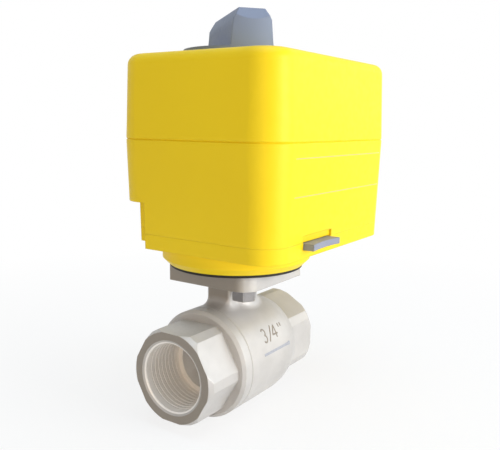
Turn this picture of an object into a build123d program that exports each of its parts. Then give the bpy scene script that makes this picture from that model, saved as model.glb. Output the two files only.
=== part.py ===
"""Motorized ball valve: a nickel-plated ball valve with a clip-on quarter-turn actuator.

Frame: the origin is the centre of the inlet mouth, +X runs along the pipe towards the outlet,
+Z runs up the stem axis and -Y is the side with the release latch. All sizes are in millimetres.
"""

import os
from math import atan2, cos, degrees, hypot, pi, radians, sin, sqrt, tan

from build123d import *

os.makedirs("parts", exist_ok=True)

# General clearances
SNUG = 0.05
RING_EASE = 0.02
RUN = 0.08
GAP = 0.3

# Waterway and pipe threads
THREAD_R = 12.06
THREAD_DEPTH = 18.0
MOUTH_CHAMFER = 0.8
WATER_R = 10.0
INLET_REACH = 38.0
OUTLET_REACH = 31.5

# Hexagon ends
HEX_AF = 31.5
HEX_CORNER_CUT = 2.0
HEX_END_R = 16.2
HEX_END_SLOPE = 30.0
HEX_OVERLAP = 2.0
REAR_HEX_TURN = 30.0

# Valve body
BARREL_R = 19.8
COLLAR_W = 5.0
COLLAR_CHAMFER = 1.1
FRONT_HEX_LENGTH = 15.8
BARREL_STRAIGHT = 5.0
REAR_HEX_LENGTH = 16.0
REAR_SHOULDER_R = 17.6
SEAM_CHAMFER = 0.35
NOSE_WALL = 3.4
CONNECTOR_RING_R = 0.66

# Ball, seats and stem
BALL_R = 15.0
CAVITY_GAP = 0.6
SEAT_R = 13.5
SEAT_BACK = 12.4
SEAT_FRONT = 7.8
SEAT_BORE_GROWTH = 0.2
SEAT_GAP = 0.12
SLOT_W = 4.2
SLOT_L = 9.4
SLOT_DEPTH = 4.3
STEM_R = 5.5
STEM_COLLAR_R = 6.8
STEM_COLLAR_T = 2.3
STEM_SQUARE = 9.0
STEM_TOP_ABOVE_FLANGE = 9.5
WASHER_T = 1.2
STEM_RING_R = 0.55
STEM_RING_HEIGHTS = (22.4, 26.2)

# Neck and mounting flange
NECK_R = 8.0
WEB_REACH = 11.5
WEB_HALF_T = 5.3
WEB_EDGE_R = 1.3
WEB_CREASE_R = 3.0
NECK_FOOT_R = 4.0
FLANGE_Z = 28.0
FLANGE_T = 5.7
FLANGE_SIZE = 36.0
FLANGE_CORNER_R = 6.2
FLANGE_EDGE_R = 0.6
BOLT_INSET = 5.9
BOLT_R = 2.5
BOLT_HOLE_R = 2.75
BOLT_HEAD_AF = 8.0
BOLT_HEAD_H = 4.0
BOLT_LENGTH = 12.0
GASKET_R = 25.0
GASKET_T = 1.0

# Mounting base: round turret below, shallow tray above
TURRET_R = 27.8
TURRET_H = 6.6
TURRET_CHAMFER = 2.3
TRAY_H = 5.4
TRAY_WALL = 2.2

# Actuator housing
BOX_WIDTH = 89.5
BOX_DEPTH = 68.9
BOX_OFFSET_X = 14.35
BOX_OFFSET_Y = -1.15
BOX_CORNER_R = 11.3
DRAFT = 1.95
HOUSING_H = 33.6
COVER_H = 29.6
WALL = 2.2
FLOOR_T = 2.3
RIM_W = 4.2
RIM_H = 2.5
TOP_EDGE_R = 4.0
SEAM_LIP = 0.4
RIM_SEAL_W = 1.5
RIM_SEAL_T = 1.3
NOTCH_REACH_X = 12.4
NOTCH_REACH_Y = 13.8
NOTCH_H = 16.6

# Cable inlet in the roof of the corner notch
INLET_R = 2.6
GROMMET_R = 4.2
GROMMET_NECK_R = 3.4
GROMMET_INNER_R = 3.9
GROMMET_RIM_T = 0.8
GROMMET_INNER_T = 1.2
INLET_FROM_WALL = 4.8

# Release latch
LATCH_HALF_W = 9.5
LATCH_T = 2.2
LATCH_REACH = 38.4
LATCH_SCALLOP = 0.9
LATCH_TRAVEL = 2.4
LATCH_RING_W = 3.4
LATCH_TAIL_HALF_W = 4.0
LATCH_TAIL = 0.8
LATCH_LUG_HALF_W = 2.2
LATCH_LUG_T = 1.4
LATCH_RECESS_H = 2.4
LATCH_RECESS_SIDE = 0.8
LATCH_RECESS_DEPTH = 0.8
SPRING_R = 1.5
SPRING_WIRE_R = 0.3
SPRING_LENGTH = 9.6
SPRING_TURNS = 7
SPIGOT_R = 13.0
SPIGOT_H = 9.5
SPIGOT_GROOVE_R = 10.6
SPIGOT_BORE_R = 9.2
HOOK_GAP = 0.4
PEG_R = 2.5
PEG_H = 2.0
PEG_X = 37.0
PEG_Y = 18.0
PEG_WALL = 1.6
GUIDE_W = 2.0
GUIDE_LENGTH = 12.0

# Drive train
MODULE = 1.0
PRESSURE_ANGLE = 20.0
ADDENDUM = 0.75
DEDENDUM = 1.0
BACKLASH = 0.22
OUTPUT_TEETH = 36
IDLER_SMALL_TEETH = 12
IDLER_LARGE_TEETH = 24
MOTOR_TEETH = 12
OUTPUT_FACE = 6.0
IDLER_FACE = 4.4
FACE_EXTRA = 0.5
STAGE_GAP = 1.6
IDLER_HUB_WALL = 1.6
GEAR_WEB_DEPTH = 1.5
PLATE_T = 1.5
LOW_PLATE_ABOVE_FLOOR = 2.0
PLATE_SPACING = 15.5
OUTPUT_SHAFT_R = 6.0
OUTPUT_FLAT = 4.9
COUPLER_R = 8.9
COUPLER_H = 13.2
COUPLER_LIFT = 1.6
SOCKET_SPARE = 0.5
SHAFT_SQUARE = 8.0
BUSH_R = 8.0
BUSH_FLANGE_R = 9.2
BUSH_FLANGE_T = 0.8
CIRCLIP_T = 1.0
CIRCLIP_DEPTH = 0.6
CIRCLIP_R = 8.4
CIRCLIP_MOUTH = 8.0
AXLE_R = 2.0
MOTOR_SHAFT_R = 2.5
MOTOR_WALL_SPACE = 12.45
MOTOR_SHAFT_SPACE = 9.5
MOTOR_H = 21.0
MOTOR_INSET_X = 27.6
MOTOR_OFFSET_Y = -1.35
MOTOR_BOSS_R = 5.6
MOTOR_EDGE_R = 1.5
MOTOR_BEAD_W = 0.8
MOTOR_BEAD_DEPTH = 0.6
MOTOR_BEAD_SHARE = 0.35
MOTOR_BORE_DEPTH = 5.0
MOTOR_SCREW_BITE = 4.0
MOTOR_SCREW_INSET = 5.0
MOTOR_SCREW_COUNT = 3
MOTOR_SCREW_TURN = -60.0

# Plates, pillars and small screws
PLATE_CORNER_CUT = 8.0
PLATE_SMALL_CUT = 2.0
PLATE_CLEAR = 3.2
SMALL_SCREW_R = 1.5
SMALL_HEAD_R = 2.8
SMALL_HEAD_H = 1.8
LOW_HEAD_H = 1.2
SMALL_SCREW_BITE = 5.0
SPACER_R = 3.0
POST_R = 3.6
PILLAR_AF = 5.0
POST_INSETS = ((4.0, 4.7), (3.5, 2.6), (5.9, 4.7), (4.9, 3.9))
PLATE_BACK_GAP = 0.6
PLATE_NOTCH_GAP = 0.8
BOARD_T = 1.6
BOARD_HEIGHT = 23.5
COVER_SCREW_R = 1.6
COVER_SCREW_HEAD_R = 2.9
COVER_SCREW_HEAD_H = 2.4
COVER_SCREW_BITE = 9.0
CROSS_SLOT_W = 0.8
CROSS_SLOT_DEPTH = 0.9
COVER_BOSS_R = 3.8
COVER_BOSS_INSET = 7.0

# Board parts, cam and position switches
CAM_R = 9.0
CAM_LOBE_R = 11.5
CAM_LOBE_HALF = 24.0
CAM_H = 5.0
SWITCH_L = 12.8
SWITCH_D = 6.5
SWITCH_H = 5.8
SWITCH_STANDOFF = 2.1
LEVER_T = 0.4
LEVER_W = 3.2
LEVER_FOOT = 1.2
LEVER_GAP = 0.4
RELAY = (19.0, 15.4, 10.0)
RELAY_DX = 5.0
RELAY_DY = 10.5
CAPACITOR_R = 4.0
CAPACITOR_L = 14.0
CAPACITOR_DX = -12.0
CAPACITOR_DY = -17.0
TERMINAL_WAYS = 3
TERMINAL_PITCH = 5.0
TERMINAL_D = 8.0
TERMINAL_H = 9.5
TERMINAL_DX = 19.0
TERMINAL_DY = 15.3
TERMINAL_SCREW_R = 1.7
TERMINAL_MOUTH = 3.4

# Manual knob
KNOB_R = 19.8
KNOB_ANGLE = 50.0
KNOB_PROUD = 1.9
KNOB_RECESS = 2.0
KNOB_HUB_R = 8.7
KNOB_SOCKET_WALL = 1.2
GRIP_HALF_W = 7.6
GRIP_TOP_HALF_W = 4.55
GRIP_H = 12.4
GRIP_SHOULDER = 3.75
GRIP_TOP_HALF_L = 17.5
GRIP_DRAFT = 6.2
KNOB_RING_R = 10.2
KNOB_RING_T = 0.8
KNOB_RING_DEPTH = 0.9
KNOB_SEAL_R = 0.5

# Places that follow from the sizes above
STEM_X = INLET_REACH
OUTLET_X = INLET_REACH + OUTLET_REACH
SEAM_X = FRONT_HEX_LENGTH + COLLAR_W
HEX_APOTHEM = HEX_AF / 2
CAVITY_R = BALL_R + CAVITY_GAP
NOSE_R = SEAT_R + NOSE_WALL
RECEIVER_R = NOSE_R + SNUG
NOSE_X = STEM_X - SEAT_FRONT - 0.7
FLANGE_TOP = FLANGE_Z + FLANGE_T
BOLT_OFFSET = FLANGE_SIZE / 2 - BOLT_INSET
TURRET_Z = FLANGE_TOP + GASKET_T
TRAY_Z = TURRET_Z + TURRET_H
HOUSING_Z = TRAY_Z + TRAY_H
FLOOR_TOP = HOUSING_Z + FLOOR_T
SEAM_Z = HOUSING_Z + HOUSING_H
COVER_TOP = SEAM_Z + COVER_H
CEILING = COVER_TOP - WALL
BOX_X = STEM_X + BOX_OFFSET_X
BOX_Y = BOX_OFFSET_Y
BOX_LOW_X = BOX_X - BOX_WIDTH / 2
BOX_HIGH_X = BOX_X + BOX_WIDTH / 2
BOX_LOW_Y = BOX_Y - BOX_DEPTH / 2
BOX_HIGH_Y = BOX_Y + BOX_DEPTH / 2
NOTCH_X = BOX_LOW_X + NOTCH_REACH_X
NOTCH_Y = BOX_HIGH_Y - NOTCH_REACH_Y
NOTCH_TOP = TRAY_Z + NOTCH_H
LATCH_TOP = HOUSING_Z - 0.2
LATCH_Z = LATCH_TOP - LATCH_T
LATCH_HOLE_R = SPIGOT_R + HOOK_GAP
LATCH_RING_R = LATCH_HOLE_R + LATCH_RING_W
LATCH_RING_Y = -LATCH_TRAVEL
LATCH_TAIL_Y = LATCH_RING_Y + LATCH_RING_R + LATCH_TAIL
TRAY_FLOOR = LATCH_Z - 0.1
SPRING_Y = LATCH_TAIL_Y + 0.1
SPRING_STOP_Y = SPRING_Y + SPRING_LENGTH + 0.1
LOW_PLATE_Z = FLOOR_TOP + LOW_PLATE_ABOVE_FLOOR
LOW_PLATE_TOP = LOW_PLATE_Z + PLATE_T
HIGH_PLATE_Z = LOW_PLATE_TOP + PLATE_SPACING
HIGH_PLATE_TOP = HIGH_PLATE_Z + PLATE_T
BOARD_Z = HIGH_PLATE_TOP + BOARD_HEIGHT
BOARD_TOP = BOARD_Z + BOARD_T
OUTPUT_GEAR_Z = LOW_PLATE_TOP + 1.5
IDLER_Z = LOW_PLATE_TOP + GAP
IDLER_TOP = HIGH_PLATE_Z - GAP
IDLER_LARGE_Z = OUTPUT_GEAR_Z + OUTPUT_FACE + STAGE_GAP
MOTOR_X = BOX_HIGH_X - MOTOR_INSET_X
MOTOR_R = min(BOX_DEPTH / 2 - MOTOR_WALL_SPACE, MOTOR_X - STEM_X - MOTOR_SHAFT_SPACE)
MOTOR_Y = BOX_Y + MOTOR_OFFSET_Y
MOTOR_SCREW_PCR = MOTOR_R - MOTOR_SCREW_INSET
CAM_Z = BOARD_TOP + 1.4
HUB_Z = CAM_Z + CAM_H + 0.6
RECESS_FLOOR = COVER_TOP - KNOB_RECESS
RECESS_UNDER = RECESS_FLOOR - WALL
DISC_Z = RECESS_FLOOR + GAP
DISC_TOP = COVER_TOP + KNOB_PROUD
SHAFT_TOP = DISC_Z - KNOB_SOCKET_WALL
PLATE_INSET = RIM_W + (SEAM_Z - LOW_PLATE_Z) * tan(radians(DRAFT))
PLATE_LEFT = NOTCH_X + WALL + PLATE_NOTCH_GAP
PLATE_RIGHT = BOX_HIGH_X - PLATE_INSET
PLATE_FRONT = BOX_LOW_Y + PLATE_INSET + PLATE_CLEAR
PLATE_BACK = BOX_HIGH_Y - COVER_BOSS_INSET - COVER_BOSS_R - PLATE_BACK_GAP
PLATE_SPOTS = [
    (PLATE_LEFT + POST_INSETS[0][0], PLATE_FRONT + POST_INSETS[0][1]),
    (PLATE_LEFT + POST_INSETS[1][0], PLATE_BACK - POST_INSETS[1][1]),
    (PLATE_RIGHT - POST_INSETS[2][0], PLATE_FRONT + POST_INSETS[2][1]),
    (PLATE_RIGHT - POST_INSETS[3][0], PLATE_BACK - POST_INSETS[3][1]),
]
ON_BASE = (Align.CENTER, Align.CENTER, Align.MIN)


def inset_at(height):
    """Return how far the drafted walls stand inside the seam outline at a height."""
    return abs(height - SEAM_Z) * tan(radians(DRAFT))


def drafted_block(low, high, inset=0.0, mode=Mode.ADD):
    """Add or cut the drafted rounded box between two heights, inset from the outer skin."""
    shrink = inset + inset_at(low)
    with BuildSketch(Plane.XY.offset(low)) as outline:
        with Locations((BOX_X, BOX_Y)):
            RectangleRounded(BOX_WIDTH - 2 * shrink, BOX_DEPTH - 2 * shrink, BOX_CORNER_R - shrink)
    taper = -DRAFT if high <= SEAM_Z else DRAFT
    extrude(outline.sketch, amount=high - low, taper=taper, mode=mode)


def disc(low, high, radius, spot=(STEM_X, 0.0), mode=Mode.ADD):
    """Add or cut an upright cylinder between two heights."""
    with Locations((spot[0], spot[1], low)):
        Cylinder(radius, high - low, align=ON_BASE, mode=mode)


def cross_slot(low, length, spot):
    """Cut the cross of a screw head, its floor or mouth at the height low."""
    with Locations((spot[0], spot[1], low)):
        Box(length, CROSS_SLOT_W, CROSS_SLOT_DEPTH, align=ON_BASE, mode=Mode.SUBTRACT)
        Box(CROSS_SLOT_W, length, CROSS_SLOT_DEPTH, align=ON_BASE, mode=Mode.SUBTRACT)


def pipe_disc(low, high, radius, mode=Mode.ADD):
    """Add or cut a cylinder on the pipe axis between two X positions."""
    with Locations(Location((low, 0, 0), (0, 90, 0))):
        Cylinder(radius, high - low, align=ON_BASE, mode=mode)


def hexagon_bar(low, high, turn):
    """Add the hexagon of a pipe end, with its corners cut flat, between two X positions."""
    with BuildSketch(Plane.YZ.offset(low)) as section:
        RegularPolygon(HEX_APOTHEM, 6, major_radius=False, rotation=turn)
        chamfer(section.vertices(), length=HEX_CORNER_CUT)
    extrude(section.sketch, amount=high - low)


def bevel_hexagon_end(face_x, inwards):
    """Cut the round bevel on the end face of a hexagon. inwards is +1 or -1 along X."""
    rise = HEX_APOTHEM / cos(radians(30)) + 1 - HEX_END_R
    run = rise / tan(radians(HEX_END_SLOPE))
    with BuildSketch(Plane.XZ) as corner:
        with BuildLine():
            Polyline(
                (face_x, HEX_END_R),
                (face_x, HEX_END_R + rise),
                (face_x + inwards * run, HEX_END_R + rise),
                close=True,
            )
        make_face()
    revolve(corner.sketch, axis=Axis.X, mode=Mode.SUBTRACT)


def countersink_mouth(face_x, inwards):
    """Cut the cone at the mouth of a threaded port."""
    with BuildSketch(Plane.XZ) as corner:
        with BuildLine():
            Polyline(
                (face_x, 0),
                (face_x, THREAD_R + MOUTH_CHAMFER * 1.5),
                (face_x + inwards * MOUTH_CHAMFER, THREAD_R),
                (face_x + inwards * MOUTH_CHAMFER, 0),
                close=True,
            )
        make_face()
    revolve(corner.sketch, axis=Axis.X, mode=Mode.SUBTRACT)


def ring(center, axis_direction, major, minor):
    """Add a round-section ring about a point."""
    with Locations(Plane(origin=center, z_dir=axis_direction).location):
        Torus(major, minor)


def seat_ring(side):
    """Add the seat ring on one side of the ball. side is +1 towards the outlet, -1 the inlet."""
    sphere_r = BALL_R + SEAT_GAP
    bore_r = WATER_R + SEAT_BORE_GROWTH
    lip_r = sqrt(sphere_r**2 - SEAT_FRONT**2)
    foot = sqrt(sphere_r**2 - bore_r**2)
    middle = radians((degrees(atan2(lip_r, SEAT_FRONT)) + degrees(atan2(bore_r, foot))) / 2)
    with BuildSketch(Plane.XZ) as section:
        with BuildLine():
            Polyline(
                (STEM_X + side * foot, bore_r),
                (STEM_X + side * SEAT_BACK, bore_r),
                (STEM_X + side * SEAT_BACK, SEAT_R),
                (STEM_X + side * SEAT_FRONT, SEAT_R),
                (STEM_X + side * SEAT_FRONT, lip_r),
            )
            ThreePointArc(
                (STEM_X + side * SEAT_FRONT, lip_r),
                (STEM_X + side * sphere_r * cos(middle), sphere_r * sin(middle)),
                (STEM_X + side * foot, bore_r),
            )
        make_face()
    revolve(section.sketch, axis=Axis.X)


def flank_angle(radius, teeth):
    """Return the half angle of a tooth at a radius, from the involute of its base circle."""
    pitch_r = MODULE * teeth / 2
    base_r = pitch_r * cos(radians(PRESSURE_ANGLE))
    half_pitch = (pi * MODULE / 2 - BACKLASH / 2) / 2 / pitch_r
    involute_pitch = tan(radians(PRESSURE_ANGLE)) - radians(PRESSURE_ANGLE)
    roll = sqrt(max(radius / base_r, 1.0) ** 2 - 1)
    return half_pitch + involute_pitch - (roll - atan2(roll, 1.0))


def gear_points(teeth, turn, steps=3):
    """Return the outline of a spur gear with a tooth centred at the angle turn, in degrees."""
    pitch_r = MODULE * teeth / 2
    root_r = pitch_r - DEDENDUM * MODULE
    tip_r = pitch_r + ADDENDUM * MODULE
    flank_r = max(root_r + 0.15, pitch_r * cos(radians(PRESSURE_ANGLE)))
    radii = [flank_r + (tip_r - flank_r) * i / steps for i in range(steps + 1)]
    side = [(root_r, flank_angle(flank_r, teeth) + 0.02)] + [(r, flank_angle(r, teeth)) for r in radii]
    points = []
    for tooth in range(teeth):
        middle = radians(turn + 360 * tooth / teeth)
        points += [(r * cos(middle - a), r * sin(middle - a)) for r, a in side]
        points += [(r * cos(middle + a), r * sin(middle + a)) for r, a in reversed(side)]
    return points


def gear(low, high, spot, teeth, turn):
    """Add a spur gear between two heights."""
    with BuildSketch(Plane(origin=(spot[0], spot[1], low))) as wheel:
        with BuildLine():
            Polyline(*gear_points(teeth, turn), close=True)
        make_face()
    extrude(wheel.sketch, amount=high - low)


def plate_outline(left, left_cut=PLATE_CORNER_CUT):
    """Sketch the outline shared by the two gear plates and the circuit board."""
    Polygon(
        (left, PLATE_FRONT + left_cut),
        (left + left_cut, PLATE_FRONT),
        (PLATE_RIGHT - PLATE_CORNER_CUT, PLATE_FRONT),
        (PLATE_RIGHT, PLATE_FRONT + PLATE_CORNER_CUT),
        (PLATE_RIGHT, PLATE_BACK),
        (left, PLATE_BACK),
        align=None,
    )


def facing_gap(teeth):
    """Return the turn that sets a gap of a gear against the tooth of the gear that drives it."""
    half_turn = 180.0
    return half_turn + half_turn / teeth


def circle_crossing(first, first_r, second, second_r):
    """Return the crossing of two circles that lies towards +Y."""
    apart = hypot(second[0] - first[0], second[1] - first[1])
    along = (first_r**2 - second_r**2 + apart**2) / (2 * apart)
    aside = sqrt(first_r**2 - along**2)
    unit = ((second[0] - first[0]) / apart, (second[1] - first[1]) / apart)
    return (
        first[0] + along * unit[0] - aside * unit[1],
        first[1] + along * unit[1] + aside * unit[0],
    )


def corner_notch(low, high, wall, cut_low, cut_high):
    """Wall off the corner notch between two heights and cut the notch itself."""
    with BuildSketch(Plane.XY.offset(low)) as walled:
        with Locations((NOTCH_X + wall, NOTCH_Y - wall)):
            Rectangle(2 * NOTCH_REACH_X, 2 * NOTCH_REACH_Y, align=(Align.MAX, Align.MIN))
        with Locations((BOX_X, BOX_Y)):
            RectangleRounded(
                BOX_WIDTH - 2 * wall,
                BOX_DEPTH - 2 * wall,
                BOX_CORNER_R - wall,
                mode=Mode.INTERSECT,
            )
    extrude(walled.sketch, amount=high - low)
    with Locations((NOTCH_X, NOTCH_Y, cut_low)):
        Box(
            2 * NOTCH_REACH_X,
            2 * NOTCH_REACH_Y,
            cut_high - cut_low,
            align=(Align.MAX, Align.MIN, Align.MIN),
            mode=Mode.SUBTRACT,
        )


IDLER_SPOT = circle_crossing(
    (STEM_X, 0.0),
    MODULE * (OUTPUT_TEETH + IDLER_SMALL_TEETH) / 2,
    (MOTOR_X, MOTOR_Y),
    MODULE * (IDLER_LARGE_TEETH + MOTOR_TEETH) / 2,
)
OUTPUT_TO_IDLER = degrees(atan2(IDLER_SPOT[1], IDLER_SPOT[0] - STEM_X))
IDLER_TO_MOTOR = degrees(atan2(MOTOR_Y - IDLER_SPOT[1], MOTOR_X - IDLER_SPOT[0]))
COVER_SPOTS = [
    (BOX_LOW_X + COVER_BOSS_INSET, BOX_LOW_Y + COVER_BOSS_INSET),
    (BOX_HIGH_X - COVER_BOSS_INSET, BOX_LOW_Y + COVER_BOSS_INSET),
    (BOX_HIGH_X - COVER_BOSS_INSET, BOX_HIGH_Y - COVER_BOSS_INSET),
    (NOTCH_X + COVER_BOSS_INSET, BOX_HIGH_Y - COVER_BOSS_INSET),
]
INLET_SPOT = (NOTCH_X - INLET_FROM_WALL, NOTCH_Y + INLET_FROM_WALL)
BOLT_SPOTS = [
    (STEM_X + BOLT_OFFSET * side, BOLT_OFFSET * side) for side in (-1, 1)
]


# Valve body: barrel, neck with its web, square mounting flange and outlet hexagon
with BuildPart() as valve_body:
    shoulder_x = OUTLET_X - REAR_HEX_LENGTH
    shoulder_run = REAR_SHOULDER_R - HEX_APOTHEM
    with BuildSketch(Plane.XZ) as barrel_profile:
        with BuildLine():
            Polyline(
                (shoulder_x, -REAR_SHOULDER_R),
                (shoulder_x + shoulder_run, -HEX_APOTHEM),
                (shoulder_x + shoulder_run, 0),
                (SEAM_X, 0),
                (SEAM_X, SEAM_CHAMFER - BARREL_R),
                (SEAM_X + SEAM_CHAMFER, -BARREL_R),
                (STEM_X + BARREL_STRAIGHT, -BARREL_R),
            )
            TangentArc(
                (STEM_X + BARREL_STRAIGHT, -BARREL_R),
                (shoulder_x, -REAR_SHOULDER_R),
                tangent=(1, 0),
            )
        make_face()
    revolve(barrel_profile.sketch, axis=Axis.X)
    hexagon_bar(shoulder_x - HEX_OVERLAP, OUTLET_X, REAR_HEX_TURN)
    bevel_hexagon_end(OUTLET_X, -1)
    with BuildSketch(Plane.XY.offset(CAVITY_R)) as neck:
        with Locations((STEM_X - WEB_REACH / 2, 0)):
            Rectangle(WEB_REACH, 2 * WEB_HALF_T)
        with Locations((STEM_X, 0)):
            Circle(NECK_R)
        web_end = neck.vertices().group_by(Axis.X)[0]
        web_crease = neck.vertices() - web_end
        fillet(web_end, radius=WEB_EDGE_R)
        fillet(web_crease, radius=WEB_CREASE_R)
    extrude(neck.sketch, amount=FLANGE_Z - CAVITY_R)
    foot_edges = (
        valve_body.edges()
        .filter_by_position(Axis.Z, CAVITY_R + 0.1, BARREL_R + 0.1)
        .filter_by_position(Axis.X, STEM_X - WEB_REACH - 1, STEM_X + NECK_R + 1)
        .filter_by_position(Axis.Y, -NECK_R - 1, NECK_R + 1)
    )
    fillet(foot_edges, radius=NECK_FOOT_R)
    with BuildSketch(Plane.XY.offset(FLANGE_Z)) as flange:
        with Locations((STEM_X, 0)):
            Rectangle(FLANGE_SIZE, FLANGE_SIZE)
        fillet(flange.vertices().filter_by(lambda v: (v.X - STEM_X) * v.Y > 0), radius=FLANGE_CORNER_R)
        fillet(flange.vertices().filter_by(lambda v: (v.X - STEM_X) * v.Y < 0), radius=FLANGE_EDGE_R)
    extrude(flange.sketch, amount=FLANGE_T)
    pipe_disc(SEAM_X, NOSE_X + GAP, RECEIVER_R, mode=Mode.SUBTRACT)
    pipe_disc(NOSE_X, STEM_X + SEAT_FRONT + 0.4, CAVITY_R, mode=Mode.SUBTRACT)
    pipe_disc(STEM_X, STEM_X + SEAT_BACK, SEAT_R + SNUG, mode=Mode.SUBTRACT)
    pipe_disc(STEM_X, OUTLET_X, WATER_R, mode=Mode.SUBTRACT)
    pipe_disc(OUTLET_X - THREAD_DEPTH, OUTLET_X, THREAD_R, mode=Mode.SUBTRACT)
    countersink_mouth(OUTLET_X, -1)
    disc(BALL_R - 1, CAVITY_R + STEM_COLLAR_T + WASHER_T + SNUG, STEM_COLLAR_R + GAP, mode=Mode.SUBTRACT)
    disc(BALL_R, FLANGE_TOP, STEM_R + RUN, mode=Mode.SUBTRACT)
    for spot in BOLT_SPOTS:
        disc(FLANGE_Z, FLANGE_TOP, BOLT_HOLE_R, spot, Mode.SUBTRACT)
valve_body.part.label = "valve_body"
export_step(valve_body.part, "parts/valve_body.step")

# End connector: inlet hexagon with a collar, screwed into the body behind the front seat
with BuildPart() as end_connector:
    hexagon_bar(0, FRONT_HEX_LENGTH + 1, 0)
    bevel_hexagon_end(0, 1)
    with BuildSketch(Plane.XZ) as collar_profile:
        with BuildLine():
            Polyline(
                (FRONT_HEX_LENGTH, 0),
                (FRONT_HEX_LENGTH, BARREL_R - COLLAR_CHAMFER),
                (FRONT_HEX_LENGTH + COLLAR_CHAMFER, BARREL_R),
                (SEAM_X - SEAM_CHAMFER, BARREL_R),
                (SEAM_X, BARREL_R - SEAM_CHAMFER),
                (SEAM_X, NOSE_R - 2 * CONNECTOR_RING_R),
                (SEAM_X + 2 * CONNECTOR_RING_R + 0.2, NOSE_R - 2 * CONNECTOR_RING_R),
                (SEAM_X + 2 * CONNECTOR_RING_R + 0.2, NOSE_R),
                (NOSE_X - 0.5, NOSE_R),
                (NOSE_X, NOSE_R - 0.5),
                (NOSE_X, 0),
                close=True,
            )
        make_face()
    revolve(collar_profile.sketch, axis=Axis.X)
    pipe_disc(STEM_X - SEAT_BACK, NOSE_X, SEAT_R + SNUG, mode=Mode.SUBTRACT)
    pipe_disc(0, NOSE_X, WATER_R, mode=Mode.SUBTRACT)
    pipe_disc(0, THREAD_DEPTH, THREAD_R, mode=Mode.SUBTRACT)
    countersink_mouth(0, 1)
end_connector.part.label = "end_connector"
export_step(end_connector.part, "parts/end_connector.step")

# Sealing ring between the collar and the body
with BuildPart() as connector_ring:
    ring(
        (SEAM_X + CONNECTOR_RING_R + 0.1, 0, 0),
        (1, 0, 0),
        NOSE_R - CONNECTOR_RING_R,
        CONNECTOR_RING_R - SNUG,
    )
connector_ring.part.label = "connector_ring"
export_step(connector_ring.part, "parts/connector_ring.step")

# Ball with its through bore and the slot that the stem turns it by
with BuildPart() as ball:
    with Locations((STEM_X, 0, 0)):
        Sphere(BALL_R)
    pipe_disc(STEM_X - BALL_R, STEM_X + BALL_R, WATER_R, mode=Mode.SUBTRACT)
    with Locations((STEM_X, 0, BALL_R)):
        Box(SLOT_W, SLOT_L, 2 * SLOT_DEPTH, mode=Mode.SUBTRACT)
ball.part.label = "ball"
export_step(ball.part, "parts/ball.step")

# Two seat rings, each with a spherical face towards the ball
with BuildPart() as seat_inlet:
    seat_ring(-1)
seat_inlet.part.label = "seat_inlet"
export_step(seat_inlet.part, "parts/seat_inlet.step")

with BuildPart() as seat_outlet:
    seat_ring(1)
seat_outlet.part.label = "seat_outlet"
export_step(seat_outlet.part, "parts/seat_outlet.step")

# Stem: tang in the ball's slot, thrust collar, two ring grooves and a squared top
STEM_TOP = FLANGE_TOP + STEM_TOP_ABOVE_FLANGE
COLLAR_Z = CAVITY_R
with BuildPart() as stem:
    with Locations((STEM_X, 0, BALL_R - SLOT_DEPTH + 0.2)):
        Box(SLOT_W - 2 * SNUG, SLOT_L - 2 * GAP, COLLAR_Z - BALL_R + SLOT_DEPTH, align=ON_BASE)
    disc(COLLAR_Z, COLLAR_Z + STEM_COLLAR_T, STEM_COLLAR_R)
    disc(COLLAR_Z, FLANGE_TOP, STEM_R)
    for height in STEM_RING_HEIGHTS:
        with Locations((STEM_X, 0, height)):
            Cylinder(STEM_R + 1, 2 * STEM_RING_R + 0.3, mode=Mode.SUBTRACT)
            Cylinder(STEM_R - 2 * STEM_RING_R, 2 * STEM_RING_R + 0.3)
    with BuildSketch(Plane.XY.offset(FLANGE_TOP)) as square_top:
        with Locations((STEM_X, 0)):
            Rectangle(STEM_SQUARE, STEM_SQUARE)
            Circle(STEM_R, mode=Mode.INTERSECT)
    extrude(square_top.sketch, amount=STEM_TOP - FLANGE_TOP)
    chamfer(stem.faces().sort_by(Axis.Z)[-1].edges(), length=0.6)
stem.part.label = "stem"
export_step(stem.part, "parts/stem.step")

# Rings on the stem
with BuildPart() as stem_ring_lower:
    ring((STEM_X, 0, STEM_RING_HEIGHTS[0]), (0, 0, 1), STEM_R - STEM_RING_R, STEM_RING_R - RING_EASE)
stem_ring_lower.part.label = "stem_ring_lower"
export_step(stem_ring_lower.part, "parts/stem_ring_lower.step")

with BuildPart() as stem_ring_upper:
    ring((STEM_X, 0, STEM_RING_HEIGHTS[1]), (0, 0, 1), STEM_R - STEM_RING_R, STEM_RING_R - RING_EASE)
stem_ring_upper.part.label = "stem_ring_upper"
export_step(stem_ring_upper.part, "parts/stem_ring_upper.step")

# Thrust washer between the stem's collar and the body
with BuildPart() as thrust_washer:
    washer_z = COLLAR_Z + STEM_COLLAR_T + RUN
    disc(washer_z, washer_z + WASHER_T - RUN, STEM_COLLAR_R)
    disc(washer_z, washer_z + WASHER_T, STEM_R + RUN, mode=Mode.SUBTRACT)
thrust_washer.part.label = "thrust_washer"
export_step(thrust_washer.part, "parts/thrust_washer.step")

# Flat gasket between the flange and the turret
with BuildPart() as flange_gasket:
    disc(FLANGE_TOP, TURRET_Z, GASKET_R)
    disc(FLANGE_TOP, TURRET_Z, COUPLER_R + 1, mode=Mode.SUBTRACT)
    for spot in BOLT_SPOTS:
        disc(FLANGE_TOP, TURRET_Z, BOLT_HOLE_R, spot, Mode.SUBTRACT)
flange_gasket.part.label = "flange_gasket"
export_step(flange_gasket.part, "parts/flange_gasket.step")

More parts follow.
